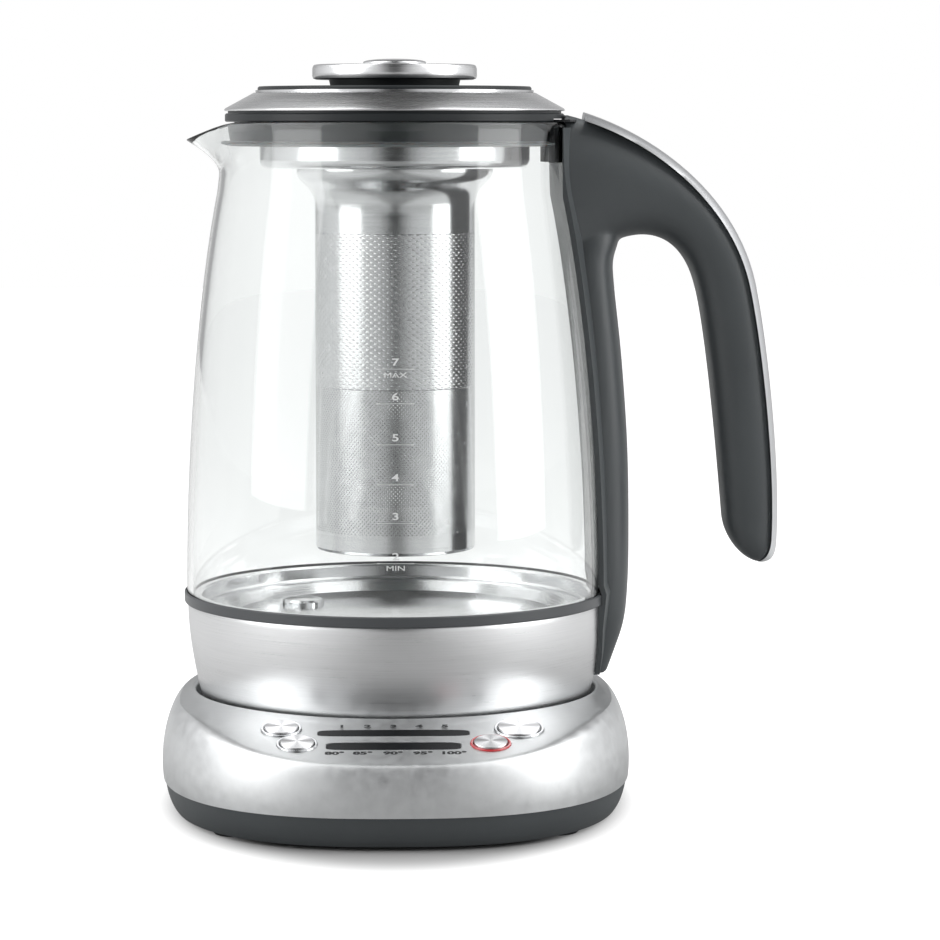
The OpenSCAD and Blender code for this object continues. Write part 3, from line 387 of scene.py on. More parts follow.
def relief(finish, noise, depth, strength=1.0):
    """Lets the noise raise the surface by a depth in metres."""
    bump = add_node(finish, "ShaderNodeBump", Strength=strength, Distance=depth)
    connect(finish, noise, "Fac", bump, "Height")
    connect(finish, bump, "Normal", surface_of(finish), "Normal")


def shaded(colour, factor):
    return tuple(min(1, c * factor) for c in colour)


def spun_metal(name, colour, roughness, ring=0.0004, lift=0.0000006, centre=AXIS, anisotropy=0.6):
    """Metal with a lathe's rings, which catch the light in sectors."""
    finish = material(name, colour, roughness, 1.0, Anisotropic=anisotropy)
    noise = ring_grain(finish, ring, centre)
    vary(finish, noise, "Roughness", roughness * 0.8, roughness * 1.25)
    tint(finish, noise, shaded(colour, 0.93), shaded(colour, 1.05))
    relief(finish, noise, lift)
    tangent = add_node(finish, "ShaderNodeTangent")
    tangent.direction_type = "RADIAL"
    tangent.axis = "Z"
    connect(finish, tangent, "Tangent", surface_of(finish), "Tangent")
    return finish


def brushed_metal(name, colour, roughness, size, anisotropy=0.0, lift=0.000002):
    """Metal brushed into streaks, whose size along each axis is given in metres."""
    finish = material(name, colour, roughness, 1.0, Anisotropic=anisotropy)
    noise = grain(finish, size, AXIS)
    vary(finish, noise, "Roughness", roughness * 0.9, roughness * 1.15)
    tint(finish, noise, shaded(colour, 0.95), shaded(colour, 1.03))
    relief(finish, noise, lift)
    return finish


def painted_highlight_metal(name, sectors, roughness):
    """Spun metal with painted highlights: light and dark sectors fan out from the middle of the piece in its colour,
    in place of the bow-tie reflections of its lathe rings.
    """
    finish = material(name, (0.8, 0.8, 0.8), roughness, 1.0)
    place = add_node(finish, "ShaderNodeTexCoord")
    centred = add_node(finish, "ShaderNodeMapping", Location=(-0.5, -0.5, 0))
    fan = add_node(finish, "ShaderNodeTexGradient")
    fan.gradient_type = "RADIAL"
    ramp = add_node(finish, "ShaderNodeValToRGB")
    ramp.color_ramp.interpolation = "EASE"
    while len(ramp.color_ramp.elements) < len(sectors):
        ramp.color_ramp.elements.new(0.5)
    for i, value in enumerate(sectors):
        element = ramp.color_ramp.elements[i]
        element.position = i / (len(sectors) - 1)
        element.color = (value, value, value * 1.01, 1)
    connect(finish, place, "Generated", centred, "Vector")
    connect(finish, centred, "Vector", fan, "Vector")
    connect(finish, fan, "Color", ramp, "Fac")
    connect(finish, ramp, "Color", surface_of(finish), "Base Color")
    return finish


def moulded_plastic(name, colour, roughness, pit=0.0004, depth=0.00003, **sockets):
    """Plastic with the fine eroded texture of its mould and faint handling marks."""
    finish = material(name, colour, roughness, **sockets)
    fine = grain(finish, (pit, pit, pit), detail=2.0)
    relief(finish, fine, depth)
    broad = grain(finish, (0.05, 0.05, 0.05), detail=4.0)
    vary(finish, broad, "Roughness", roughness * 0.88, roughness * 1.15)
    tint(finish, broad, shaded(colour, 0.93), shaded(colour, 1.07))
    return finish


CHARCOAL = (0.062, 0.07, 0.074)
STEEL = (0.72, 0.725, 0.73)
silver = brushed_metal("satin_silver", (0.66, 0.672, 0.675), 0.42, (0.004, 0.004, 0.004), lift=0.0000004)
charcoal = moulded_plastic("charcoal_plastic", CHARCOAL, 0.42)
handle_plastic = moulded_plastic("handle_plastic", (0.066, 0.074, 0.078), 0.42, depth=0.00002)
black_plastic = moulded_plastic("black_plastic", (0.022, 0.023, 0.025), 0.45)
dark_gloss = moulded_plastic("dark_satin_plastic", (0.02, 0.023, 0.025), 0.36, depth=0.000006, Specular_IOR_Level=0.3)
foot_rubber = moulded_plastic("foot_rubber", (0.02, 0.02, 0.022), 0.7)
gasket_rubber = moulded_plastic("gasket_rubber", (0.07, 0.075, 0.08), 0.38, depth=0.000008)
plug_plastic = moulded_plastic("plug_plastic", (0.042, 0.049, 0.051), 0.38, depth=0.000008)
silicone = moulded_plastic("silicone", (0.21, 0.235, 0.24), 0.4, depth=0.000006, Subsurface_Weight=0.1)
socket_plastic = moulded_plastic("socket_plastic", (0.7, 0.69, 0.65), 0.45)
board_lacquer = moulded_plastic("board_lacquer", (0.03, 0.16, 0.07), 0.3)
diffuser = moulded_plastic("light_diffuser", (0.8, 0.8, 0.76), 0.4)
window_gloss = material("window_gloss", (0.006, 0.007, 0.008), 0.22, Specular_IOR_Level=0.12)
skirt_steel = brushed_metal("skirt_steel", STEEL, 0.3, (0.03, 0.03, 0.00025), lift=0.0000003)
lid_steel = brushed_metal("lid_steel", (0.8, 0.805, 0.81), 0.26, (0.03, 0.03, 0.00025), lift=0.0000003)
trim_steel = brushed_metal("trim_steel", (0.66, 0.67, 0.68), 0.3, (0.0004, 0.0004, 0.04))
basket_steel = brushed_metal("basket_steel", (0.66, 0.665, 0.67), 0.17, (0.04, 0.04, 0.0005), lift=0.0000001)
mesh_steel = brushed_metal("perforated_steel", (0.66, 0.665, 0.67), 0.24, (0.003, 0.003, 0.003), lift=0.0)
floor_steel = spun_metal("floor_steel", (0.76, 0.765, 0.77), 0.13)
knob_steel = spun_metal("knob_steel", STEEL, 0.2)
# the buttons' bow-tie highlights are painted into their colour as light and dark sectors
button_steel = painted_highlight_metal("button_steel", (0.2, 0.74, 0.4, 0.78, 0.24, 0.7, 0.42, 0.74, 0.2), 0.26)
ring_chrome = material("ring_chrome", (0.55, 0.56, 0.57), 0.12, 1.0)
ring_red = material("ring_red", (0.5, 0.012, 0.018), 0.22, 0.0, Coat_Weight=0.7, Coat_Roughness=0.08)
brass = spun_metal("contact_brass", (0.78, 0.57, 0.22), 0.25)
screw_steel = material("screw_steel", (0.45, 0.46, 0.47), 0.35, 1.0)
element_steel = brushed_metal("element_steel", (0.4, 0.41, 0.42), 0.4, (0.01, 0.01, 0.001))
cast_aluminium = brushed_metal("cast_aluminium", (0.65, 0.65, 0.66), 0.5, (0.002, 0.002, 0.002))
glass = material("clear_glass", (0.935, 0.948, 0.944), 0.0, Transmission_Weight=1.0, IOR=1.45)
print_white = material("print_white", (0.82, 0.83, 0.83), 0.5)
print_dark = material("print_dark", (0.012, 0.013, 0.014), 0.6)


# ---------------------------------------------------------------- base

BASE_HALF_W = half_width("base_top_cover")
base_low, base_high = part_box("base_top_cover")
BASE_MID_Y = (base_low.y + base_high.y) / 2 / MM - AXIS.y / MM
BASE_HALF_D = (base_high.y - base_low.y) / 2 / MM
TRAY_TOP, RIM_Z = heights("base_top_cover")
TRAY_TOP = heights("base_lower_tray")[1]
FOOT_STAND = heights("base_lower_tray")[0]
WIDE_Z = 17.6
CROWN_Z = RIM_Z + 0.9
SHOULDER_INSET = 9
TOE_INSET = 6.6
TRAY_STEP = 0.6
BASE_SQUARENESS = 2.5
SHELL_WALL = 2.4
SEAT_R = 76
SEAT_FLOOR_Z = RIM_Z - 7.3
CONNECTOR_HOLE_R = 17.9
PANEL_TILT = math.radians(13)
PANEL_START_Y = -76
PANEL_EDGE = 5
PLAN_SIDES = 192


def base_inset(z):
    """How far the base's side lies inside its widest outline at a height."""
    if z > WIDE_Z:
        return SHOULDER_INSET * (1 - math.sqrt(max(0, 1 - ((z - WIDE_Z) / (CROWN_Z - WIDE_Z)) ** 2)))
    return TOE_INSET * (1 - math.sqrt(max(0, 1 - ((WIDE_Z - z) / WIDE_Z) ** 2)))


def base_outline(inset):
    """Plan of the base, drawn in by an inset, as a ring of (x, y) points."""
    outline = squared_oval(BASE_HALF_W - inset, BASE_HALF_D - inset, BASE_SQUARENESS, PLAN_SIDES)
    return [(x, y + BASE_MID_Y) for x, y in outline]


def panel_height(y):
    return RIM_Z + math.tan(PANEL_TILT) * (y - PANEL_START_Y)


def base_ring(z, inset, sunk=0.0):
    """Ring of the base at a height, pressed down where the panel's slope lies lower."""
    return [(x, y, smooth_min(z, panel_height(y) - sunk, PANEL_EDGE)) for x, y in base_outline(inset)]


def toward_seat(share, radius, z, sunk=0.0):
    """Ring between the base's top edge and a circle about the seat."""
    ring = []
    top = base_outline(base_inset(RIM_Z) + sunk)
    for x, y in top:
        angle = math.atan2(y, x)
        cx, cy = radius * math.cos(angle), radius * math.sin(angle)
        px, py = mix(x, cx, share), mix(y, cy, share)
        ring.append((px, py, smooth_min(z, panel_height(py) - sunk, PANEL_EDGE)))
    return ring


def circle_ring(radius, z):
    """Ring about the seat whose points lie in the same directions as the plan's."""
    turns = [math.atan2(y, x) for x, y in base_outline(base_inset(RIM_Z))]
    return [(radius * math.cos(t), radius * math.sin(t), z) for t in turns]


def on_panel(piece, x, y, lift=0.0):
    """Sets a piece that was made about the origin on the panel's face, square to it."""
    place = AXIS + Vector((x, y, panel_height(y))) * MM
    normal = Vector((0, -math.sin(PANEL_TILT), math.cos(PANEL_TILT)))
    return put_at(piece, place + normal * lift * MM, (PANEL_TILT, 0, 0))


def cylinder(name, radius, z_low, z_high, sides=96):
    deselect()
    bpy.ops.mesh.primitive_cylinder_add(vertices=sides, radius=radius * MM, depth=(z_high - z_low) * MM,
                                        location=(0, 0, (z_low + z_high) / 2 * MM))
    piece = bpy.context.object
    piece.name = name
    return put_at(piece, piece.location)


# body of each button, and the finish and slot of its ring
BUTTONS = {
    "brew_time": ("brew_time_key", ring_chrome, "ring_steel"),
    "temperature": ("temperature_key", ring_chrome, "ring_steel"),
    "start_timer": ("start_timer_key", ring_chrome, "ring_steel"),
    "start_stop": ("start_stop_key", ring_red, "ring_red"),
}
WINDOWS = ("upper_window", "lower_window")


def panel_place(node):
    """Where a node's middle lies on the panel, in millimetres from the jug's centre line."""
    place = (middle_of(node) - AXIS) / MM
    return place.x, place.y


def window_cutter(node, grow):
    """Block in the shape of a window's CAD node, a little larger."""
    low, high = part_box(node)
    half_l = (high.x - low.x) / 2 / MM + grow
    half_w = (high.y - low.y) / 2 / MM / math.cos(PANEL_TILT) + grow - 0.4
    return squared_oval(half_l, half_w, 6, 48)


def base_cover():
    """Silver shell: rounded side, sloped panel, seat for the jug and a hollow underside."""
    side = [mix(TRAY_TOP, RIM_Z, math.sin(math.pi / 2 * i / 18)) for i in range(19)]
    rings = [base_ring(z, base_inset(z)) for z in side]
    rings += [toward_seat(i / 10, SEAT_R + 1.6, RIM_Z) for i in range(1, 10)]
    lip = [(SEAT_R + 1.5 - 1.5 * math.sin(a), RIM_Z - 1.5 + 1.5 * math.cos(a))
           for a in [math.radians(15 * k) for k in range(7)]]
    rings += [circle_ring(r, z) for r, z in lip]
    floor_turn = [(SEAT_R - 0.8 + 0.8 * math.cos(a), SEAT_FLOOR_Z + 0.8 - 0.8 * math.sin(a))
                  for a in [math.radians(22.5 * k) for k in range(5)]]
    rings += [circle_ring(r, z) for r, z in floor_turn]
    rings += [circle_ring(r, SEAT_FLOOR_Z) for r in (60, 40, CONNECTOR_HOLE_R)]
    under = SEAT_FLOOR_Z - SHELL_WALL
    rings += [circle_ring(r, under) for r in (CONNECTOR_HOLE_R, 40, 60, SEAT_R + SHELL_WALL)]
    rings += [toward_seat(1 - i / 4, SEAT_R + SHELL_WALL + 1, RIM_Z - SHELL_WALL, SHELL_WALL) for i in range(4)]
    inner = [mix(RIM_Z - SHELL_WALL, TRAY_TOP, 1 - math.cos(math.pi / 2 * i / 6)) for i in range(7)]
    rings += [base_ring(z, base_inset(z) + SHELL_WALL, SHELL_WALL) for z in inner]
    cover = bridged("cover_shell", rings, loop=True)
    cutters = []
    for button in BUTTONS:
        radius = half_width(button + "_ring") + 0.06
        x, y = panel_place(button + "_button")
        cutters.append(on_panel(cylinder("hole", radius, -12, 12), *panel_top(button + "_button")))
    for node in WINDOWS:
        outline = window_cutter(node, 0.25)
        block = bridged_at_origin("slot", outline, -12, 12)
        cutters.append(on_panel(block, *panel_top(node)))
    cut(cover, *cutters)
    return fit(cover, silver, "base", "silver_shell", "base_top_cover")


def panel_top(node):
    """Point of the panel's face over a node that stands square under it."""
    x, y = panel_place(node)
    z = middle_of(node).z / MM
    depth = (panel_height(y) - z) * math.cos(PANEL_TILT)
    return x, y - depth * math.sin(PANEL_TILT)


def bridged_at_origin(name, outline, z_low, z_high):
    """Upright block with the given outline, made about the origin."""
    deselect()
    bpy.ops.mesh.primitive_circle_add(vertices=len(outline), radius=MM, fill_type="NGON")
    piece = bpy.context.object
    piece.name = name
    bpy.ops.object.mode_set(mode="EDIT")
    mesh = bmesh.from_edit_mesh(piece.data)
    mesh.verts.ensure_lookup_table()
    for vert, (x, y) in zip(mesh.verts, outline):
        vert.co = Vector((x, y, z_low)) * MM
    bmesh.update_edit_mesh(piece.data)
    bpy.ops.mesh.extrude_region_move(TRANSFORM_OT_translate={"value": (0, 0, (z_high - z_low) * MM)})
    leave_edit()
    return clean_up(piece)


def base_tray():
    """Charcoal shell with a rounded toe, a flat underside and counterbores for its screws."""
    side = [mix(TRAY_TOP, FOOT_STAND, math.sin(math.pi / 2 * i / 12)) for i in range(13)]
    outer = [(z, base_inset(z) + TRAY_STEP) for z in side]
    rings = [plain_ring(z, inset) for z, inset in outer]
    rings.insert(0, plain_ring(TRAY_TOP, TRAY_STEP + SHELL_WALL + base_inset(TRAY_TOP)))
    rings.insert(0, plain_ring(FOOT_STAND + SHELL_WALL, TRAY_STEP + SHELL_WALL + TOE_INSET))
    tray = bridged("tray_shell", rings)
    screws = loose_middles("base_screws")
    cutters = [put_at(cylinder("bore", 3.6, 0, FOOT_STAND + 3.4, 48), (p.x, p.y, 0)) for p in screws]
    cut(tray, *cutters)
    return fit(tray, charcoal, "base", "charcoal_shell", "base_lower_tray")


def plain_ring(z, inset):
    return [(x, y, z) for x, y in base_outline(inset)]


def loose_middles(node):
    """Middle of each separate solid in a CAD node that holds four alike, one in each corner."""
    middle = middle_of(node)
    corners = {}
    for vert in NODES[node].data.vertices:
        key = (vert.co.x > middle.x, vert.co.y > middle.y)
        corners.setdefault(key, []).append(vert.co)
    return [sum(points, Vector()) / len(points) for _, points in sorted(corners.items())]


def foot_below_panel(node):
    """How far a button's foot reaches below the panel's face, in millimetres."""
    x, y = panel_top(node)
    face = AXIS + Vector((x, y, panel_height(y))) * MM
    out = Vector((0, -math.sin(PANEL_TILT), math.cos(PANEL_TILT)))
    return min((vert.co - face).dot(out) for vert in NODES[node].data.vertices) / MM


def button_pieces(name, body, ring_finish, ring_slot):
    """Turned ring on the panel and the spun, slightly dished cap in it."""
    ring_r = half_width(name + "_ring")
    cap_r = ring_r - 1.25
    x, y = panel_top(name + "_button")
    ring = turned(name + "_bezel", [(cap_r + 0.15, -5.5), (ring_r, -5.5), (ring_r, 0.15), (ring_r - 0.2, 0.45),
                                    (ring_r - 0.55, 0.5), (cap_r + 0.35, 0.4), (cap_r + 0.15, 0.2)], steps=96)
    fit(on_panel(ring, x, y), ring_finish, "base", ring_slot, name + "_ring")
    dish = [(cap_r * s, 0.72 + 0.28 * s * s) for s in (0.96, 0.8, 0.6, 0.4, 0.2, 0)]
    low = foot_below_panel(name + "_button")
    cap = turned(name + "_cap", [(0, low), (2, low), (2, -6.3), (cap_r + 0.9, -6.3), (cap_r + 0.9, -5.7),
                                 (cap_r, -5.7), (cap_r, 0.5), (cap_r * 0.985, 0.85)] + dish, steps=96)
    fit(on_panel(cap, x, y), button_steel, body, "button_steel", name + "_button")


def window_lens(node):
    """Glossy dark window with a rounded edge, a little below the panel's face."""
    outline = window_cutter(node, 0.1)
    lens = bridged_at_origin(node + "_lens", outline, -2.6, -0.14)
    round_edges(lens, 0.2, limit=50)
    fit(on_panel(lens, *panel_top(node)), window_gloss, "base", "display_dark", node)


def finish_base():
    base_cover()
    base_tray()
    for name, options in BUTTONS.items():
        button_pieces(name, *options)
    for node in WINDOWS:
        window_lens(node)
    dress("foot_pads", foot_rubber)
    for node in ("lead_gland", "base_connector", "tact_switches"):
        dress(node, black_plastic)
    dress("base_screws", screw_steel)
    dress("contact_rings", brass)
    dress("control_board", board_lacquer)
    dress("indicator_lights", diffuser)


# ---------------------------------------------------------------- jug

FOOT_R = 79.2
NECK_R = 66.9
RIM_R = 65.5
GLASS_WALL = 2.2
GLASS_FOOT_Z, GLASS_TOP_Z = heights("glass_jug")
RIM_TOP_Z = heights("lid_flange_ring")[0] - 0.1
NECK_Z = 227
TAPER = ((FOOT_R, GLASS_FOOT_Z), (FOOT_R + 0.3, GLASS_FOOT_Z + 47), (FOOT_R - 4, NECK_Z - 42), (NECK_R, NECK_Z))
NECK = ((NECK_R, NECK_Z), (NECK_R - 1.1, NECK_Z + 6.5), (RIM_R, NECK_Z + 13), (RIM_R, RIM_TOP_Z - GLASS_WALL / 2))
SPOUT_REACH = 13.4
SPOUT_DROP = 6.4
SPOUT_HALF_ANGLE = math.radians(13)
SPOUT_LOW_Z = NECK_Z + 8


def pull_spout(x, y, z):
    """Moves a point of the glass out and down where the spout is pulled from the rim."""
    angle = math.atan2(y, -x)
    share = max(0, (z - SPOUT_LOW_Z) / (RIM_TOP_Z - SPOUT_LOW_Z))
    part = math.exp(-(angle / SPOUT_HALF_ANGLE) ** 2)
    radius = math.hypot(x, y) + part * SPOUT_REACH * share ** 1.6
    return -radius * math.cos(angle), radius * math.sin(angle), z - part * SPOUT_DROP * share


def glass_jug():
    """Blown glass wall with a rounded rim and its pulled spout."""
    outer = curve_points(TAPER, 24) + curve_points(NECK, 14, 1)
    half = GLASS_WALL / 2
    rim = [(RIM_R - half + half * math.cos(a), RIM_TOP_Z - half + half * math.sin(a))
           for a in [math.radians(22.5 * k) for k in range(1, 8)]]
    inner = [(r - GLASS_WALL, z) for r, z in reversed(outer)]
    wall = turned("jug_glass", outer + rim + inner, steps=288)
    for vert in wall.data.vertices:
        x, y, z = vert.co / MM
        vert.co = Vector(pull_spout(x, y, z)) * MM
    put_at(wall, AXIS)
    clean_up(wall, 60)
    return fit(wall, glass, "jug", "clear_glass", "glass_jug")


def boiler_skirt():
    """Brushed steel wall of the boiler, with a rolled top edge and a turned-in foot."""
    top_r, top_z = FOOT_R - 0.3, heights("boiler_skirt")[1]
    low_r, low_z = top_r - 4.9, heights("boiler_skirt")[0]
    side = curve_points(((top_r, top_z - 0.6), (top_r, top_z - 11.5), (top_r - 2, RIM_Z + 10.7),
                         (low_r + 0.9, RIM_Z + 1.5)), 24)
    turn = curve_points(((low_r + 0.9, RIM_Z + 1.5), (low_r - 0.4, RIM_Z - 4), (low_r - 2.2, low_z),
                         (low_r - 8, low_z)), 16, 1)
    line = [(top_r - 2, top_z), (top_r - 0.5, top_z), (top_r - 0.15, top_z - 0.15)] + side + turn
    inside = [(low_r - 8, low_z + 1), (low_r - 3, low_z + 1), (low_r - 1, RIM_Z - 3), (low_r, RIM_Z + 1.5),
              (top_r - 3, RIM_Z + 11), (top_r - 1.2, top_z - 11), (top_r - 2, top_z - 1)]
    skirt = on_axis("skirt_wall", line + inside, steps=256)
    return fit(skirt, skirt_steel, "jug", "brushed_skirt", "boiler_skirt")


def finish_jug():
    glass_jug()
    boiler_skirt()
    dress("jug_gasket", gasket_rubber)
    dress("boiler_floor", floor_steel)
    dress("sensor_cap", floor_steel)
    dress("heat_plate", cast_aluminium)
    dress("heating_element", element_steel)
    dress("jug_underside", charcoal)
    dress("jug_socket", socket_plastic)
    dress("socket_contacts", brass)
    dress("spine_bracket", element_steel)
    dress("spine_screw", screw_steel)
    dress("rim_clamp", black_plastic)


# ---------------------------------------------------------------- handle

HANDLE_REACH = FOOT_R + 66.1
HANDLE_TOP_Z = 260.3
GRIP_TOP_Z = HANDLE_TOP_Z - 66.8
TIP_Z = 87.8
HEAD_HALF_W = 21
GRIP_HALF_W = 14
TRIM_T = 3
HANDLE_SQUARENESS = 2.7
SPINE_LOW_Z = 45
SPINE_REACH = FOOT_R + 9.5
SPINE_IN_X = RIM_R - GLASS_WALL - 1.3
HEAD_OUT = ((RIM_R - 4.5, HANDLE_TOP_Z), (HANDLE_REACH - 53.3, HANDLE_TOP_Z - 6.3),
            (HANDLE_REACH - 17.3, HANDLE_TOP_Z - 30.3), (HANDLE_REACH - 9.1, GRIP_TOP_Z))
HEAD_IN = ((RIM_R - 3.5, HANDLE_TOP_Z - 66.3), (HANDLE_REACH - 62.3, HANDLE_TOP_Z - 43.8),
           (HANDLE_REACH - 39.3, HANDLE_TOP_Z - 41.3), (HANDLE_REACH - 32.3, GRIP_TOP_Z))
GRIP_OUT = (HEAD_OUT[3], (HANDLE_REACH - 4.3, GRIP_TOP_Z - 21.5), (HANDLE_REACH + 1.4, TIP_Z + 34),
            (HANDLE_REACH - 0.3, TIP_Z + 7))
GRIP_IN = (HEAD_IN[3], (HANDLE_REACH - 27.8, GRIP_TOP_Z - 15.5), (HANDLE_REACH - 23.3, TIP_Z + 42),
           (HANDLE_REACH - 21.2, TIP_Z + 18))
TIP_OUT = (GRIP_OUT[3], (HANDLE_REACH - 0.6, TIP_Z + 2.5), (HANDLE_REACH - 1.8, TIP_Z), (HANDLE_REACH - 5, TIP_Z))
TIP_IN = (GRIP_IN[3], (HANDLE_REACH - 20.8, TIP_Z + 10), (HANDLE_REACH - 14.5, TIP_Z + 1), (HANDLE_REACH - 8, TIP_Z))
HEAD_STEPS, GRIP_STEPS, TIP_STEPS = 28, 18, 12
HANDLE_SIDES = 48


def handle_stations():
    """Outer point, inner point and half width of each section along the handle."""
    stations = []
    for i in range(HEAD_STEPS + 1):
        width = mix(HEAD_HALF_W, GRIP_HALF_W, math.sin(math.pi / 2 * i / HEAD_STEPS))
        stations.append((curve(HEAD_OUT, i / HEAD_STEPS), curve(HEAD_IN, i / HEAD_STEPS), width))
    for i in range(1, GRIP_STEPS + 1):
        width = mix(GRIP_HALF_W, GRIP_HALF_W - 1.5, i / GRIP_STEPS)
        stations.append((curve(GRIP_OUT, i / GRIP_STEPS), curve(GRIP_IN, i / GRIP_STEPS), width))
    for i in range(1, TIP_STEPS + 1):
        width = mix(GRIP_HALF_W - 1.5, GRIP_HALF_W - 7, (i / TIP_STEPS) ** 2)
        stations.append((curve(TIP_OUT, i / TIP_STEPS), curve(TIP_IN, i / TIP_STEPS), width))
    return stations


def handle_section(outer, inner, half_w, squareness=HANDLE_SQUARENESS):
    """Full closed section between two points of the side view."""
    middle = Vector(((outer[0] + inner[0]) / 2, (outer[1] + inner[1]) / 2))
    across = Vector((outer[0] - inner[0], outer[1] - inner[1]))
    depth = across.length / 2
    across.normalize()
    oval = squared_oval(depth, half_w, squareness, HANDLE_SIDES)
    return middle, across, depth, oval


def section_part(station, trim):
    """Ring of the shell's or of the trim's share of a section, parted by a flat TRIM_T deep."""
    outer, inner, half_w = station
    middle, across, depth, oval = handle_section(outer, inner, half_w)
    edge = depth - TRIM_T
    overlap = 0.4
    ring = []
    for u, v in oval:
        if trim:
            u = max(u, edge - overlap)
        else:
            u = min(u, edge)
        ring.append((middle.x + across.x * u, v, middle.y + across.y * u))
    return ring


def jug_envelope():
    """Solid as large as the jug from its skirt to above its lid, which the handle stands clear of."""
    gap = 0.15
    top_r = FOOT_R - 0.3
    low_r = top_r - 4.9
    side = curve_points(((low_r + 0.9, RIM_Z + 1.5), (top_r - 2, RIM_Z + 10.7), (top_r, 62), (top_r, 73.5)), 12)
    line = [(0, RIM_Z - 5), (low_r - 0.5, RIM_Z - 5)] + side + [(FOOT_R + 1, 73.5), (FOOT_R + 1, 77.5)]
    line += [p for p in curve_points(TAPER, 24, 1) if p[1] > 78] + curve_points(NECK, 8, 1)
    line += [(RIM_R, RIM_TOP_Z - 1), (RIM_R - 1.8 + 1.1, RIM_TOP_Z - 1), (RIM_R - 1.8 + 1.1, 300), (0, 300)]
    return on_axis("jug_space", [(r + gap if r else 0, z) for r, z in line], steps=128)


def spine_rings():
    """Rings up the spine's rib: height, reach and half width."""
    low = SPINE_LOW_Z
    key = [(low, SPINE_REACH - 8.4, 8), (low + 9, SPINE_REACH - 5.2, 10.5), (low + 19, SPINE_REACH - 2, 12.5),
           (low + 30, SPINE_REACH - 0.6, 14), (low + 50, SPINE_REACH, 15), (low + 85.6, SPINE_REACH - 0.6, 16),
           (low + 119.9, SPINE_REACH - 3, 17), (GRIP_TOP_Z, SPINE_REACH - 6.1, 18),
           (GRIP_TOP_Z + 9, SPINE_REACH - 6.4, 18), (GRIP_TOP_Z + 18, SPINE_REACH - 4.5, 16.5),
           (GRIP_TOP_Z + 30, SPINE_REACH - 9, 12)]
    rings = []
    for z, reach, half_w in smooth_rows(key, 5):
        mid = (reach + SPINE_IN_X) / 2
        rings.append([(mid + x, y, z) for x, y in squared_oval(reach - mid, half_w, 2.6, 40)])
    return rings


def between(points, at):
    """Value at a height, on straight lines through (height, value) points."""
    for (z0, a), (z1, b) in zip(points, points[1:]):
        if at <= z1:
            return mix(a, b, (at - z0) / (z1 - z0))
    return points[-1][1]


def smooth_rows(rows, steps):
    """Rows of values with smooth in-between rows, through every given row."""
    out = []
    for i in range(len(rows) - 1):
        before, a, b, after = rows[max(i - 1, 0)], rows[i], rows[i + 1], rows[min(i + 2, len(rows) - 1)]
        for step in range(steps):
            t = step / steps
            out.append(tuple(0.5 * (2 * q + (r - p) * t + (2 * p - 5 * q + 4 * r - s) * t * t
                                    + (3 * q - p - 3 * r + s) * t ** 3)
                             for p, q, r, s in zip(before, a, b, after)))
    return out + [rows[-1]]


def flange_rings():
    """Rings up the thin flange that hugs the glass on either side of the spine."""
    low = SPINE_LOW_Z
    top_r = FOOT_R - 0.3
    side = [(77.5, 22.5), (131, 24), (183.5, 25.5), (RIM_TOP_Z - 2, 26)]
    rows = [(low, top_r - 3, 9), (low + 9, top_r - 1.5, 15), (low + 19, top_r - 0.5, 20), (77.5, FOOT_R + 1, 22.5)]
    rows += [(z, r, between(side, z)) for r, z in curve_points(TAPER, 24) + curve_points(NECK, 8, 1)
             if 79 < z < RIM_TOP_Z - 2]
    rows += [(RIM_TOP_Z - 2, RIM_R, 26)]
    rings = []
    for z, radius, half_w in rows:
        r = radius + 2
        swing = math.asin(half_w / r)
        arc = [mix(-swing, swing, k / 22) for k in range(23)]
        rings.append([(SPINE_IN_X, -half_w, z)] + [(r * math.cos(a), r * math.sin(a), z) for a in arc]
                     + [(SPINE_IN_X, half_w, z)])
    return rings


def blended(piece, voxel, rounds):
    """Melts a piece's overlapping parts into one skin, with their inner corners filled a little."""
    remesh = piece.modifiers.new("skin", "REMESH")
    remesh.mode = "VOXEL"
    remesh.voxel_size = voxel * MM
    smooth = piece.modifiers.new("even", "SMOOTH")
    smooth.factor = 0.5
    smooth.iterations = rounds
    return apply_modifiers(piece)


def finish_handle():
    """Charcoal handle with its spine and flange, and the steel strip let into its back."""
    stations = handle_stations()
    shell = joined("handle_body", bridged("grip", [section_part(s, False) for s in stations]),
                   bridged("spine", spine_rings()))
    blended(shell, 0.9, 8)
    cut(shell, jug_envelope())
    clean_up(shell, 50)
    fit(shell, handle_plastic, "jug", "handle_plastic", "handle_shell")
    flange = cut(bridged("spine_flange", flange_rings()), jug_envelope())
    clean_up(flange, 40)
    fit(flange, handle_plastic, "jug", "handle_plastic")
    strip = bridged("handle_strip", [section_part(s, True) for s in stations[3:]])
    round_edges(strip, 0.3, limit=50, crease=40)
    fit(strip, trim_steel, "jug", "trim_steel", "handle_trim")


# ---------------------------------------------------------------- lid and basket

def finish_lid():
    """Steel cone ring with rolled edges over the dark flange, the plug and its seal."""
    low_z, top_z = heights("lid_cone_ring")
    outer_r = half_width("lid_cone_ring")
    inner_r = 51.3
    top_r = inner_r + 1.4
    ring = on_axis("lid_cone", [(inner_r, top_z - 1.1), (top_r - 0.2, top_z - 1.1), (outer_r - 1.2, low_z),
                                (outer_r - 0.1, low_z), (outer_r + 0.05, low_z + 0.25), (outer_r, low_z + 0.6),
                                (outer_r - 0.5, low_z + 1.05), (top_r + 0.7, top_z - 0.3), (top_r + 0.2, top_z - 0.06),
                                (top_r - 0.3, top_z), (inner_r, top_z)], steps=256)
    fit(ring, lid_steel, "jug_lid", "lid_steel", "lid_cone_ring")
    dress("lid_flange_ring", dark_gloss)
    dress("lid_plug", plug_plastic)
    dress("lid_seal", silicone)
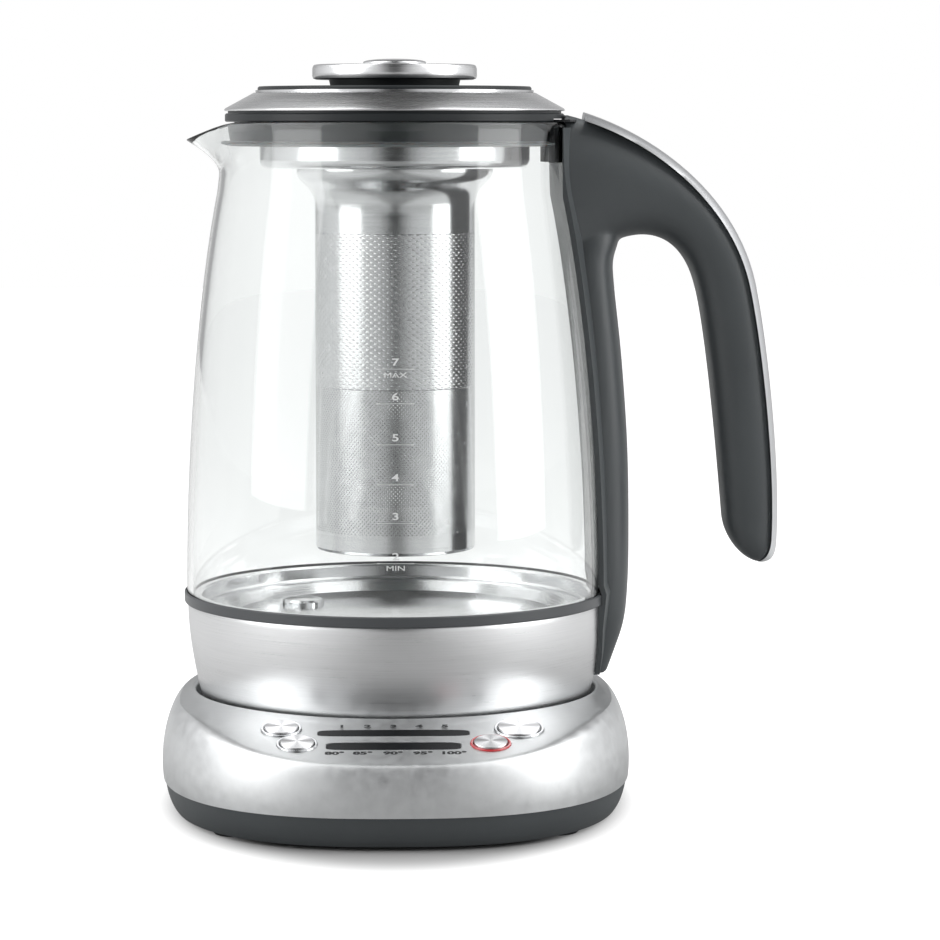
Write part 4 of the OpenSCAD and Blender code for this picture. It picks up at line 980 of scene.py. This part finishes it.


# perforated tube: its radius and heights, the sheet's thickness and the heights of the coarse perforations
TUBE_R = half_width("basket_sleeve")
SLEEVE_LOW_Z, SLEEVE_TOP_Z = heights("basket_sleeve")
SHEET_T = 0.35
COARSE_LOW_Z, COARSE_TOP_Z = 154.8, 212.7


def perforated_sheet(name, columns, rows, pitch, hole_r, corners):
    """Flat sheet of cells with a hole in each, in millimetres, every second row half a cell along."""
    deselect()
    bpy.ops.mesh.primitive_plane_add(size=1)
    cell = bpy.context.object
    cell.name = name
    cell.scale = (pitch[0], pitch[1], 1)
    bpy.ops.object.transform_apply(location=False, rotation=False, scale=True)
    bpy.ops.object.mode_set(mode="EDIT")
    bpy.ops.mesh.subdivide(number_cuts=1)
    mesh = bmesh.from_edit_mesh(cell.data)
    for vert in mesh.verts:
        vert.select = vert.co.length < hole_r / 4
    mesh.select_flush_mode()
    bmesh.update_edit_mesh(cell.data)
    bpy.ops.mesh.bevel(affect="VERTICES", offset=hole_r, segments=corners)
    bpy.ops.mesh.select_all(action="DESELECT")
    mesh = bmesh.from_edit_mesh(cell.data)
    hole = min(mesh.faces, key=lambda face: face.calc_center_median().length)
    hole.select_set(True)
    bmesh.update_edit_mesh(cell.data)
    bpy.ops.mesh.delete(type="FACE")
    bpy.ops.mesh.select_all(action="SELECT")
    bpy.ops.mesh.duplicate_move(TRANSFORM_OT_translate={"value": (pitch[0] / 2, pitch[1], 0)})
    leave_edit()
    for count, offset in ((columns, (pitch[0], 0, 0)), (rows // 2, (0, 2 * pitch[1], 0))):
        array = cell.modifiers.new("row", "ARRAY")
        array.count = count
        array.use_relative_offset = False
        array.use_constant_offset = True
        array.constant_offset_displace = offset
    return apply_modifiers(cell)


def wrapped_sheet(name, columns, rows, hole_r, corners, z_low, z_high, wall=SHEET_T):
    """Perforated sheet rolled into the tube between two heights."""
    pitch = (math.tau * TUBE_R / columns, (z_high - z_low) / rows)
    sheet = perforated_sheet(name, columns, rows, pitch, hole_r, corners)
    for vert in sheet.data.vertices:
        angle = vert.co.x / TUBE_R
        z = z_low + vert.co.y + pitch[1] / 2
        vert.co = Vector((TUBE_R * math.cos(angle), TUBE_R * math.sin(angle), z)) * MM
    clean_up(sheet)
    if wall:
        solidify = sheet.modifiers.new("wall", "SOLIDIFY")
        solidify.thickness = wall * MM
        solidify.offset = -1
        apply_modifiers(sheet)
    return put_at(sheet, AXIS)


def plain_tube(name, z_low, z_high, wall=SHEET_T):
    return on_axis(name, [(TUBE_R - wall, z_low), (TUBE_R, z_low), (TUBE_R, z_high), (TUBE_R - wall, z_high)],
                   steps=192)


COLLAR_R = half_width("basket_collar")
COLLAR_WALL = 0.8


def flared_collar():
    """Sheet that flares from the tube, first hollow and then bulging, to the pan above it."""
    top_z = heights("basket_collar")[1]
    flare = ((COLLAR_R, top_z - 1.2), (COLLAR_R - 0.6, top_z - 6.3), (TUBE_R + 0.75, top_z - 5.8), (TUBE_R, top_z - 13.3))
    outer = [(COLLAR_R, top_z)] + curve_points(flare, 16) + [(TUBE_R, SLEEVE_TOP_Z)]
    inner = [(r - COLLAR_WALL, z) for r, z in reversed(outer)]
    return on_axis("collar_flare", outer + inner, steps=192)


def finish_basket():
    """Pan, collar and cup of satin steel, and the tube with its coarse and its fine perforations."""
    coarse = wrapped_sheet("coarse_perforation", 60, 52, 0.46, 2, COARSE_LOW_Z, COARSE_TOP_Z)
    fine = wrapped_sheet("fine_perforation", 120, 66, 0.27, 1, SLEEVE_LOW_Z, COARSE_LOW_Z, wall=0)
    upper = plain_tube("plain_band", COARSE_TOP_Z, SLEEVE_TOP_Z)
    fit(coarse, mesh_steel, "basket", "mesh_steel", "basket_sleeve")
    fit(fine, mesh_steel, "basket", "mesh_steel")
    fit(upper, basket_steel, "basket", "mesh_steel")
    fit(flared_collar(), basket_steel, "basket", "basket_steel", "basket_collar")
    for node in ("basket_pan", "basket_cup"):
        dress(node, basket_steel)


def finish_basket_lid():
    """Dark lid disc and neck under the spun knob with its turned rim and raised centre."""
    low_z, top_z = heights("knob_cap")
    radius = half_width("knob_cap")
    centre_r = half_width("knob_centre")
    centre_top = heights("knob_centre")[1]
    rim = [(radius - 1.4, low_z), (radius - 0.3, low_z + 0.4), (radius, low_z + 1.3), (radius, top_z - 1.5),
           (radius - 0.12, top_z - 1.2), (radius - 0.35, top_z - 0.5), (radius - 0.8, top_z - 0.12),
           (radius - 1.6, top_z)]
    groove = [(centre_r + 2.2, top_z), (centre_r + 1.9, top_z - 0.25), (centre_r + 1.2, top_z - 0.25),
              (centre_r + 0.9, top_z), (centre_r + 0.1, top_z)]
    well = [(centre_r + 0.1, top_z - 2.4), (2.1, top_z - 2.4), (2.1, low_z)]
    knob = on_axis("knob_disc", rim + groove + well, steps=256)
    fit(knob, knob_steel, "basket_lid", "knob_steel", "knob_cap")
    crown = [(centre_r * math.sin(a), centre_top - 1.3 + 1.3 * math.cos(a)) for a in
             [math.radians(90 - 9 * k) for k in range(11)]]
    centre = on_axis("knob_button", [(0, top_z - 2.4), (centre_r, top_z - 2.4)] + crown, steps=192)
    fit(centre, knob_steel, "basket_lid", "knob_steel", "knob_centre")
    dress("basket_lid_disc", dark_gloss)
    dress("basket_lid_seal", silicone)
    dress("knob_neck", dark_gloss)
    dress("knob_screw", screw_steel)


# ---------------------------------------------------------------- printed marks

def lettering(name, text, size, stretch=1.0, weight=0.06):
    """Flat raised lettering about the origin, facing up, with its top towards +Y."""
    deselect()
    bpy.ops.object.text_add(location=(0, 0, 0))
    words = bpy.context.object
    words.name = name
    words.data.body = text
    words.data.size = size * MM
    words.data.align_x = "CENTER"
    words.data.align_y = "CENTER"
    words.data.extrude = 0.03 * MM
    words.data.offset = weight * MM
    bpy.ops.object.convert(target="MESH")
    words.scale = (stretch, 1, 1)
    bpy.ops.object.transform_apply(location=True, rotation=True, scale=True)
    return words


def flat_bar(name, length, width):
    """Thin printed bar about the origin."""
    deselect()
    bpy.ops.mesh.primitive_cube_add(size=1)
    bar = bpy.context.object
    bar.name = name
    bar.scale = (length * MM, width * MM, 0.06 * MM)
    bpy.ops.object.transform_apply(location=False, rotation=False, scale=True)
    return bar


PANEL_WEIGHT = 0.16


def finish_panel_marks():
    """Numbers beside the two windows."""
    marks = []
    for i in range(5):
        x = -19.4 + 9.22 * i
        digit = lettering("strength_mark", str(i + 1), 3.1, 1.5, PANEL_WEIGHT)
        marks.append(on_panel(digit, x, -83.2, 0.02))
    for x, value in zip((-21.6, -11.7, -1.0, 9.5, 20.2), (80, 85, 90, 95, 100)):
        number = lettering("heat_mark", f"{value}°", 3.3, 1.5, PANEL_WEIGHT)
        marks.append(on_panel(number, x, -106.6, 0.02))
    print_on_panel = joined("panel_numbers", *marks)
    fit(print_on_panel, print_dark, "base", "display_dark")


SCALE_MARKS = (("2", 99.2), ("3", 113.6), ("4", 127.5), ("5", 141.7), ("6", 156.3), ("7", 168.6))
LINE_DROP = 2.4


def finish_glass_marks():
    """Cup numbers and lines on the front of the glass."""
    marks = []
    for digit, z in SCALE_MARKS:
        marks.append(on_glass(lettering("cup_mark", digit, 3.6, 1.5), 0, z))
        marks.append(on_glass(flat_bar("cup_line", 13.4, 0.3), 0, z - LINE_DROP))
    marks.append(on_glass(lettering("most_mark", "MAX", 2.6, 1.5, 0), 0, 164.0))
    marks.append(on_glass(lettering("least_mark", "MIN", 2.6, 1.5, 0), 0, 95.0))
    scale = joined("cup_scale", *marks)
    fit(scale, print_white, "jug", "clear_glass")


def glass_radius(z):
    """Outer radius of the glass at a height."""
    points = curve_points(TAPER, 48)
    for (r0, z0), (r1, z1) in zip(points, points[1:]):
        if z0 <= z <= z1:
            return mix(r0, r1, (z - z0) / (z1 - z0))
    return FOOT_R


def on_glass(piece, x, z):
    """Wraps a flat piece, drawn facing up about the origin, onto the front of the glass."""
    for vert in piece.data.vertices:
        px, py, lift = vert.co / MM
        height = z + py
        radius = glass_radius(height) + lift + 0.06
        angle = (x + px) / radius
        vert.co = Vector((radius * math.sin(angle), -radius * math.cos(angle), height)) * MM + AXIS
    return piece


# ---------------------------------------------------------------- studio

CAMERA_REACH = 1.292
CAMERA_Z = 0.2535
LENS = 130.9
AIM = Vector((0.0745, 3.4, -0.345))


def camera():
    bpy.ops.object.camera_add(location=AXIS + Vector((0, -CAMERA_REACH, CAMERA_Z)))
    eye = bpy.context.object
    eye.data.lens = LENS
    eye.data.sensor_width = 36
    eye.data.clip_start = 0.02
    eye.rotation_euler = AIM.to_track_quat("-Z", "Y").to_euler()
    bpy.context.scene.camera = eye


def softbox(name, place, size, watts):
    """Square lamp that looks at the middle of the object."""
    bpy.ops.object.light_add(type="AREA", location=place)
    lamp = bpy.context.object
    lamp.name = name
    lamp.data.shape = "RECTANGLE"
    lamp.data.size, lamp.data.size_y = size
    lamp.data.energy = watts
    lamp.rotation_euler = (Vector((0, 0, 0.13)) - Vector(place)).to_track_quat("-Z", "Y").to_euler()


def floor():
    bpy.ops.mesh.primitive_plane_add(size=8, location=(0, 0, 0))
    ground = bpy.context.object
    ground.name = "floor"
    paper = material("floor_paper", (0.36, 0.36, 0.36), 0.9)
    surface_of(paper).inputs["Emission Color"].default_value = (1, 1, 1, 1)
    ray = add_node(paper, "ShaderNodeLightPath")
    place = add_node(paper, "ShaderNodeTexCoord")
    split = add_node(paper, "ShaderNodeSeparateXYZ")
    connect(paper, place, "Object", split, "Vector")
    behind = add_node(paper, "ShaderNodeMapRange")
    behind.inputs["From Min"].default_value = 0.159
    behind.inputs["From Max"].default_value = 0.161
    behind.inputs["To Max"].default_value = 0.76
    connect(paper, split, "Y", behind, "Value")
    through = add_node(paper, "ShaderNodeMath")
    through.operation = "MULTIPLY"
    connect(paper, ray, "Is Transmission Ray", through, 0)
    connect(paper, behind, "Result", through, 1)
    aside = add_node(paper, "ShaderNodeMath")
    aside.operation = "ABSOLUTE"
    connect(paper, split, "X", aside, 0)
    beside = add_node(paper, "ShaderNodeMapRange")
    beside.interpolation_type = "SMOOTHSTEP"
    beside.inputs["From Min"].default_value = 0.06
    beside.inputs["From Max"].default_value = 0.3
    beside.inputs["To Max"].default_value = 0.48
    connect(paper, aside, "Value", beside, "Value")
    mirrored = add_node(paper, "ShaderNodeMath")
    mirrored.operation = "MULTIPLY"
    connect(paper, ray, "Is Glossy Ray", mirrored, 0)
    connect(paper, beside, "Result", mirrored, 1)
    unlit = add_node(paper, "ShaderNodeMath")
    unlit.operation = "MAXIMUM"
    connect(paper, through, "Value", unlit, 0)
    connect(paper, mirrored, "Value", unlit, 1)
    seen = add_node(paper, "ShaderNodeMath")
    seen.operation = "MAXIMUM"
    connect(paper, ray, "Is Camera Ray", seen, 0)
    connect(paper, unlit, "Value", seen, 1)
    # painted shadow: over the base's footprint the floor's glow fades to nothing, so the grey floor shows round the
    # base, darker than the lamps' own shadow leaves it
    middle = (AXIS.x, AXIS.y + BASE_MID_Y * MM, 0)
    painted_shadow_shape = add_node(paper, "ShaderNodeMapping", Location=middle, Scale=(BASE_HALF_W * 0.84 * MM, BASE_HALF_D * 1.08 * MM, 1))
    painted_shadow_shape.vector_type = "TEXTURE"
    connect(paper, place, "Object", painted_shadow_shape, "Vector")
    reach = add_node(paper, "ShaderNodeVectorMath")
    reach.operation = "LENGTH"
    connect(paper, painted_shadow_shape, "Vector", reach, 0)
    spread = add_node(paper, "ShaderNodeMapRange")
    spread.interpolation_type = "SMOOTHERSTEP"
    spread.inputs["From Min"].default_value = 0.95
    spread.inputs["From Max"].default_value = 1.36
    spread.inputs["To Min"].default_value = 0.0
    spread.inputs["To Max"].default_value = 1.0
    connect(paper, reach, "Value", spread, "Value")
    # the floor's glow, taken away round the base to paint its shadow
    glow_outside_painted_shadow = add_node(paper, "ShaderNodeMath")
    glow_outside_painted_shadow.operation = "MULTIPLY"
    connect(paper, seen, "Value", glow_outside_painted_shadow, 0)
    connect(paper, spread, "Result", glow_outside_painted_shadow, 1)
    connect(paper, glow_outside_painted_shadow, "Value", surface_of(paper), "Emission Strength")
    ground.data.materials.append(paper)


def world():
    """White room behind the object, with a darker front and sides for the bright metal to mirror."""
    room = bpy.data.worlds.new("room")
    bpy.context.scene.world = room
    room.use_nodes = True
    tree = room.node_tree
    ray = tree.nodes.new("ShaderNodeLightPath")
    direction = tree.nodes.new("ShaderNodeTexCoord")
    split = tree.nodes.new("ShaderNodeSeparateXYZ")
    tree.links.new(direction.outputs["Generated"], split.inputs[0])
    around = tree.nodes.new("ShaderNodeMapRange")
    around.inputs["From Min"].default_value = -1
    around.inputs["From Max"].default_value = 1
    tree.links.new(split.outputs["Y"], around.inputs["Value"])
    ramp = tree.nodes.new("ShaderNodeValToRGB")
    ramp.color_ramp.interpolation = "EASE"
    for position, value in ((0.02, 0.85), (0.3, 1.0), (0.5, 0.95), (0.65, 0.85), (0.84, 0.65), (0.97, 0.45)):
        element = ramp.color_ramp.elements.new(position)
        element.color = (value, value, value * 1.01, 1)
    ramp.color_ramp.elements.remove(ramp.color_ramp.elements[0])
    ramp.color_ramp.elements.remove(ramp.color_ramp.elements[-1])
    tree.links.new(around.outputs["Result"], ramp.inputs["Fac"])
    aside = tree.nodes.new("ShaderNodeMath")
    aside.operation = "ABSOLUTE"
    tree.links.new(split.outputs["X"], aside.inputs[0])
    strip = tree.nodes.new("ShaderNodeValToRGB")
    strip.color_ramp.interpolation = "EASE"
    for position, value in ((0.12, 0.02), (0.2, 0.3), (0.4, 0.75), (0.62, 1.0)):
        element = strip.color_ramp.elements.new(position)
        element.color = (value, value, value, 1)
    strip.color_ramp.elements.remove(strip.color_ramp.elements[0])
    strip.color_ramp.elements.remove(strip.color_ramp.elements[-1])
    tree.links.new(aside.outputs[0], strip.inputs["Fac"])
    far_side = tree.nodes.new("ShaderNodeMapRange")
    far_side.inputs["From Min"].default_value = 0.72
    far_side.inputs["From Max"].default_value = 0.95
    tree.links.new(split.outputs["Y"], far_side.inputs["Value"])
    open_strip = tree.nodes.new("ShaderNodeMath")
    open_strip.operation = "MAXIMUM"
    tree.links.new(strip.outputs["Color"], open_strip.inputs[0])
    tree.links.new(far_side.outputs["Result"], open_strip.inputs[1])
    mirror = tree.nodes.new("ShaderNodeVectorMath")
    mirror.operation = "MULTIPLY"
    tree.links.new(ramp.outputs["Color"], mirror.inputs[0])
    tree.links.new(open_strip.outputs[0], mirror.inputs[1])
    stronger = tree.nodes.new("ShaderNodeVectorMath")
    stronger.operation = "SCALE"
    stronger.inputs["Scale"].default_value = 1.12
    tree.links.new(mirror.outputs["Vector"], stronger.inputs[0])
    ahead = tree.nodes.new("ShaderNodeMath")
    ahead.operation = "GREATER_THAN"
    ahead.inputs[1].default_value = 0.955
    tree.links.new(split.outputs["Y"], ahead.inputs[0])
    through = tree.nodes.new("ShaderNodeMath")
    through.operation = "MULTIPLY"
    tree.links.new(ray.outputs["Is Transmission Ray"], through.inputs[0])
    tree.links.new(ahead.outputs[0], through.inputs[1])
    seen = tree.nodes.new("ShaderNodeMath")
    seen.operation = "MAXIMUM"
    tree.links.new(ray.outputs["Is Camera Ray"], seen.inputs[0])
    tree.links.new(through.outputs[0], seen.inputs[1])
    mirrored = tree.nodes.new("ShaderNodeMath")
    mirrored.operation = "MAXIMUM"
    tree.links.new(ray.outputs["Is Glossy Ray"], mirrored.inputs[0])
    tree.links.new(ray.outputs["Is Transmission Ray"], mirrored.inputs[1])
    by_ray = tree.nodes.new("ShaderNodeMix")
    by_ray.data_type = "RGBA"
    by_ray.inputs[6].default_value = (0.42, 0.42, 0.42, 1)
    tree.links.new(mirrored.outputs[0], by_ray.inputs["Factor"])
    tree.links.new(stronger.outputs["Vector"], by_ray.inputs[7])
    final = tree.nodes.new("ShaderNodeMix")
    final.data_type = "RGBA"
    final.inputs[7].default_value = (1, 1, 1, 1)
    tree.links.new(seen.outputs[0], final.inputs["Factor"])
    tree.links.new(by_ray.outputs[2], final.inputs[6])
    tree.links.new(final.outputs[2], tree.nodes["Background"].inputs["Color"])


def studio():
    camera()
    floor()
    world()
    softbox("left_softbox", (-1.1, -0.45, 0.65), (0.9, 1.3), 7.5)
    softbox("right_softbox", (1.1, -0.35, 0.6), (0.8, 1.3), 8)
    softbox("top_left_softbox", (-0.75, 0.0, 1.2), (0.8, 1.2), 6)
    softbox("top_right_softbox", (0.75, 0.0, 1.2), (0.8, 1.2), 6)
    bpy.context.scene.view_settings.view_transform = "Standard"


studio()
finish_base()
finish_jug()
finish_handle()
finish_lid()
finish_basket()
finish_basket_lid()
finish_panel_marks()
finish_glass_marks()
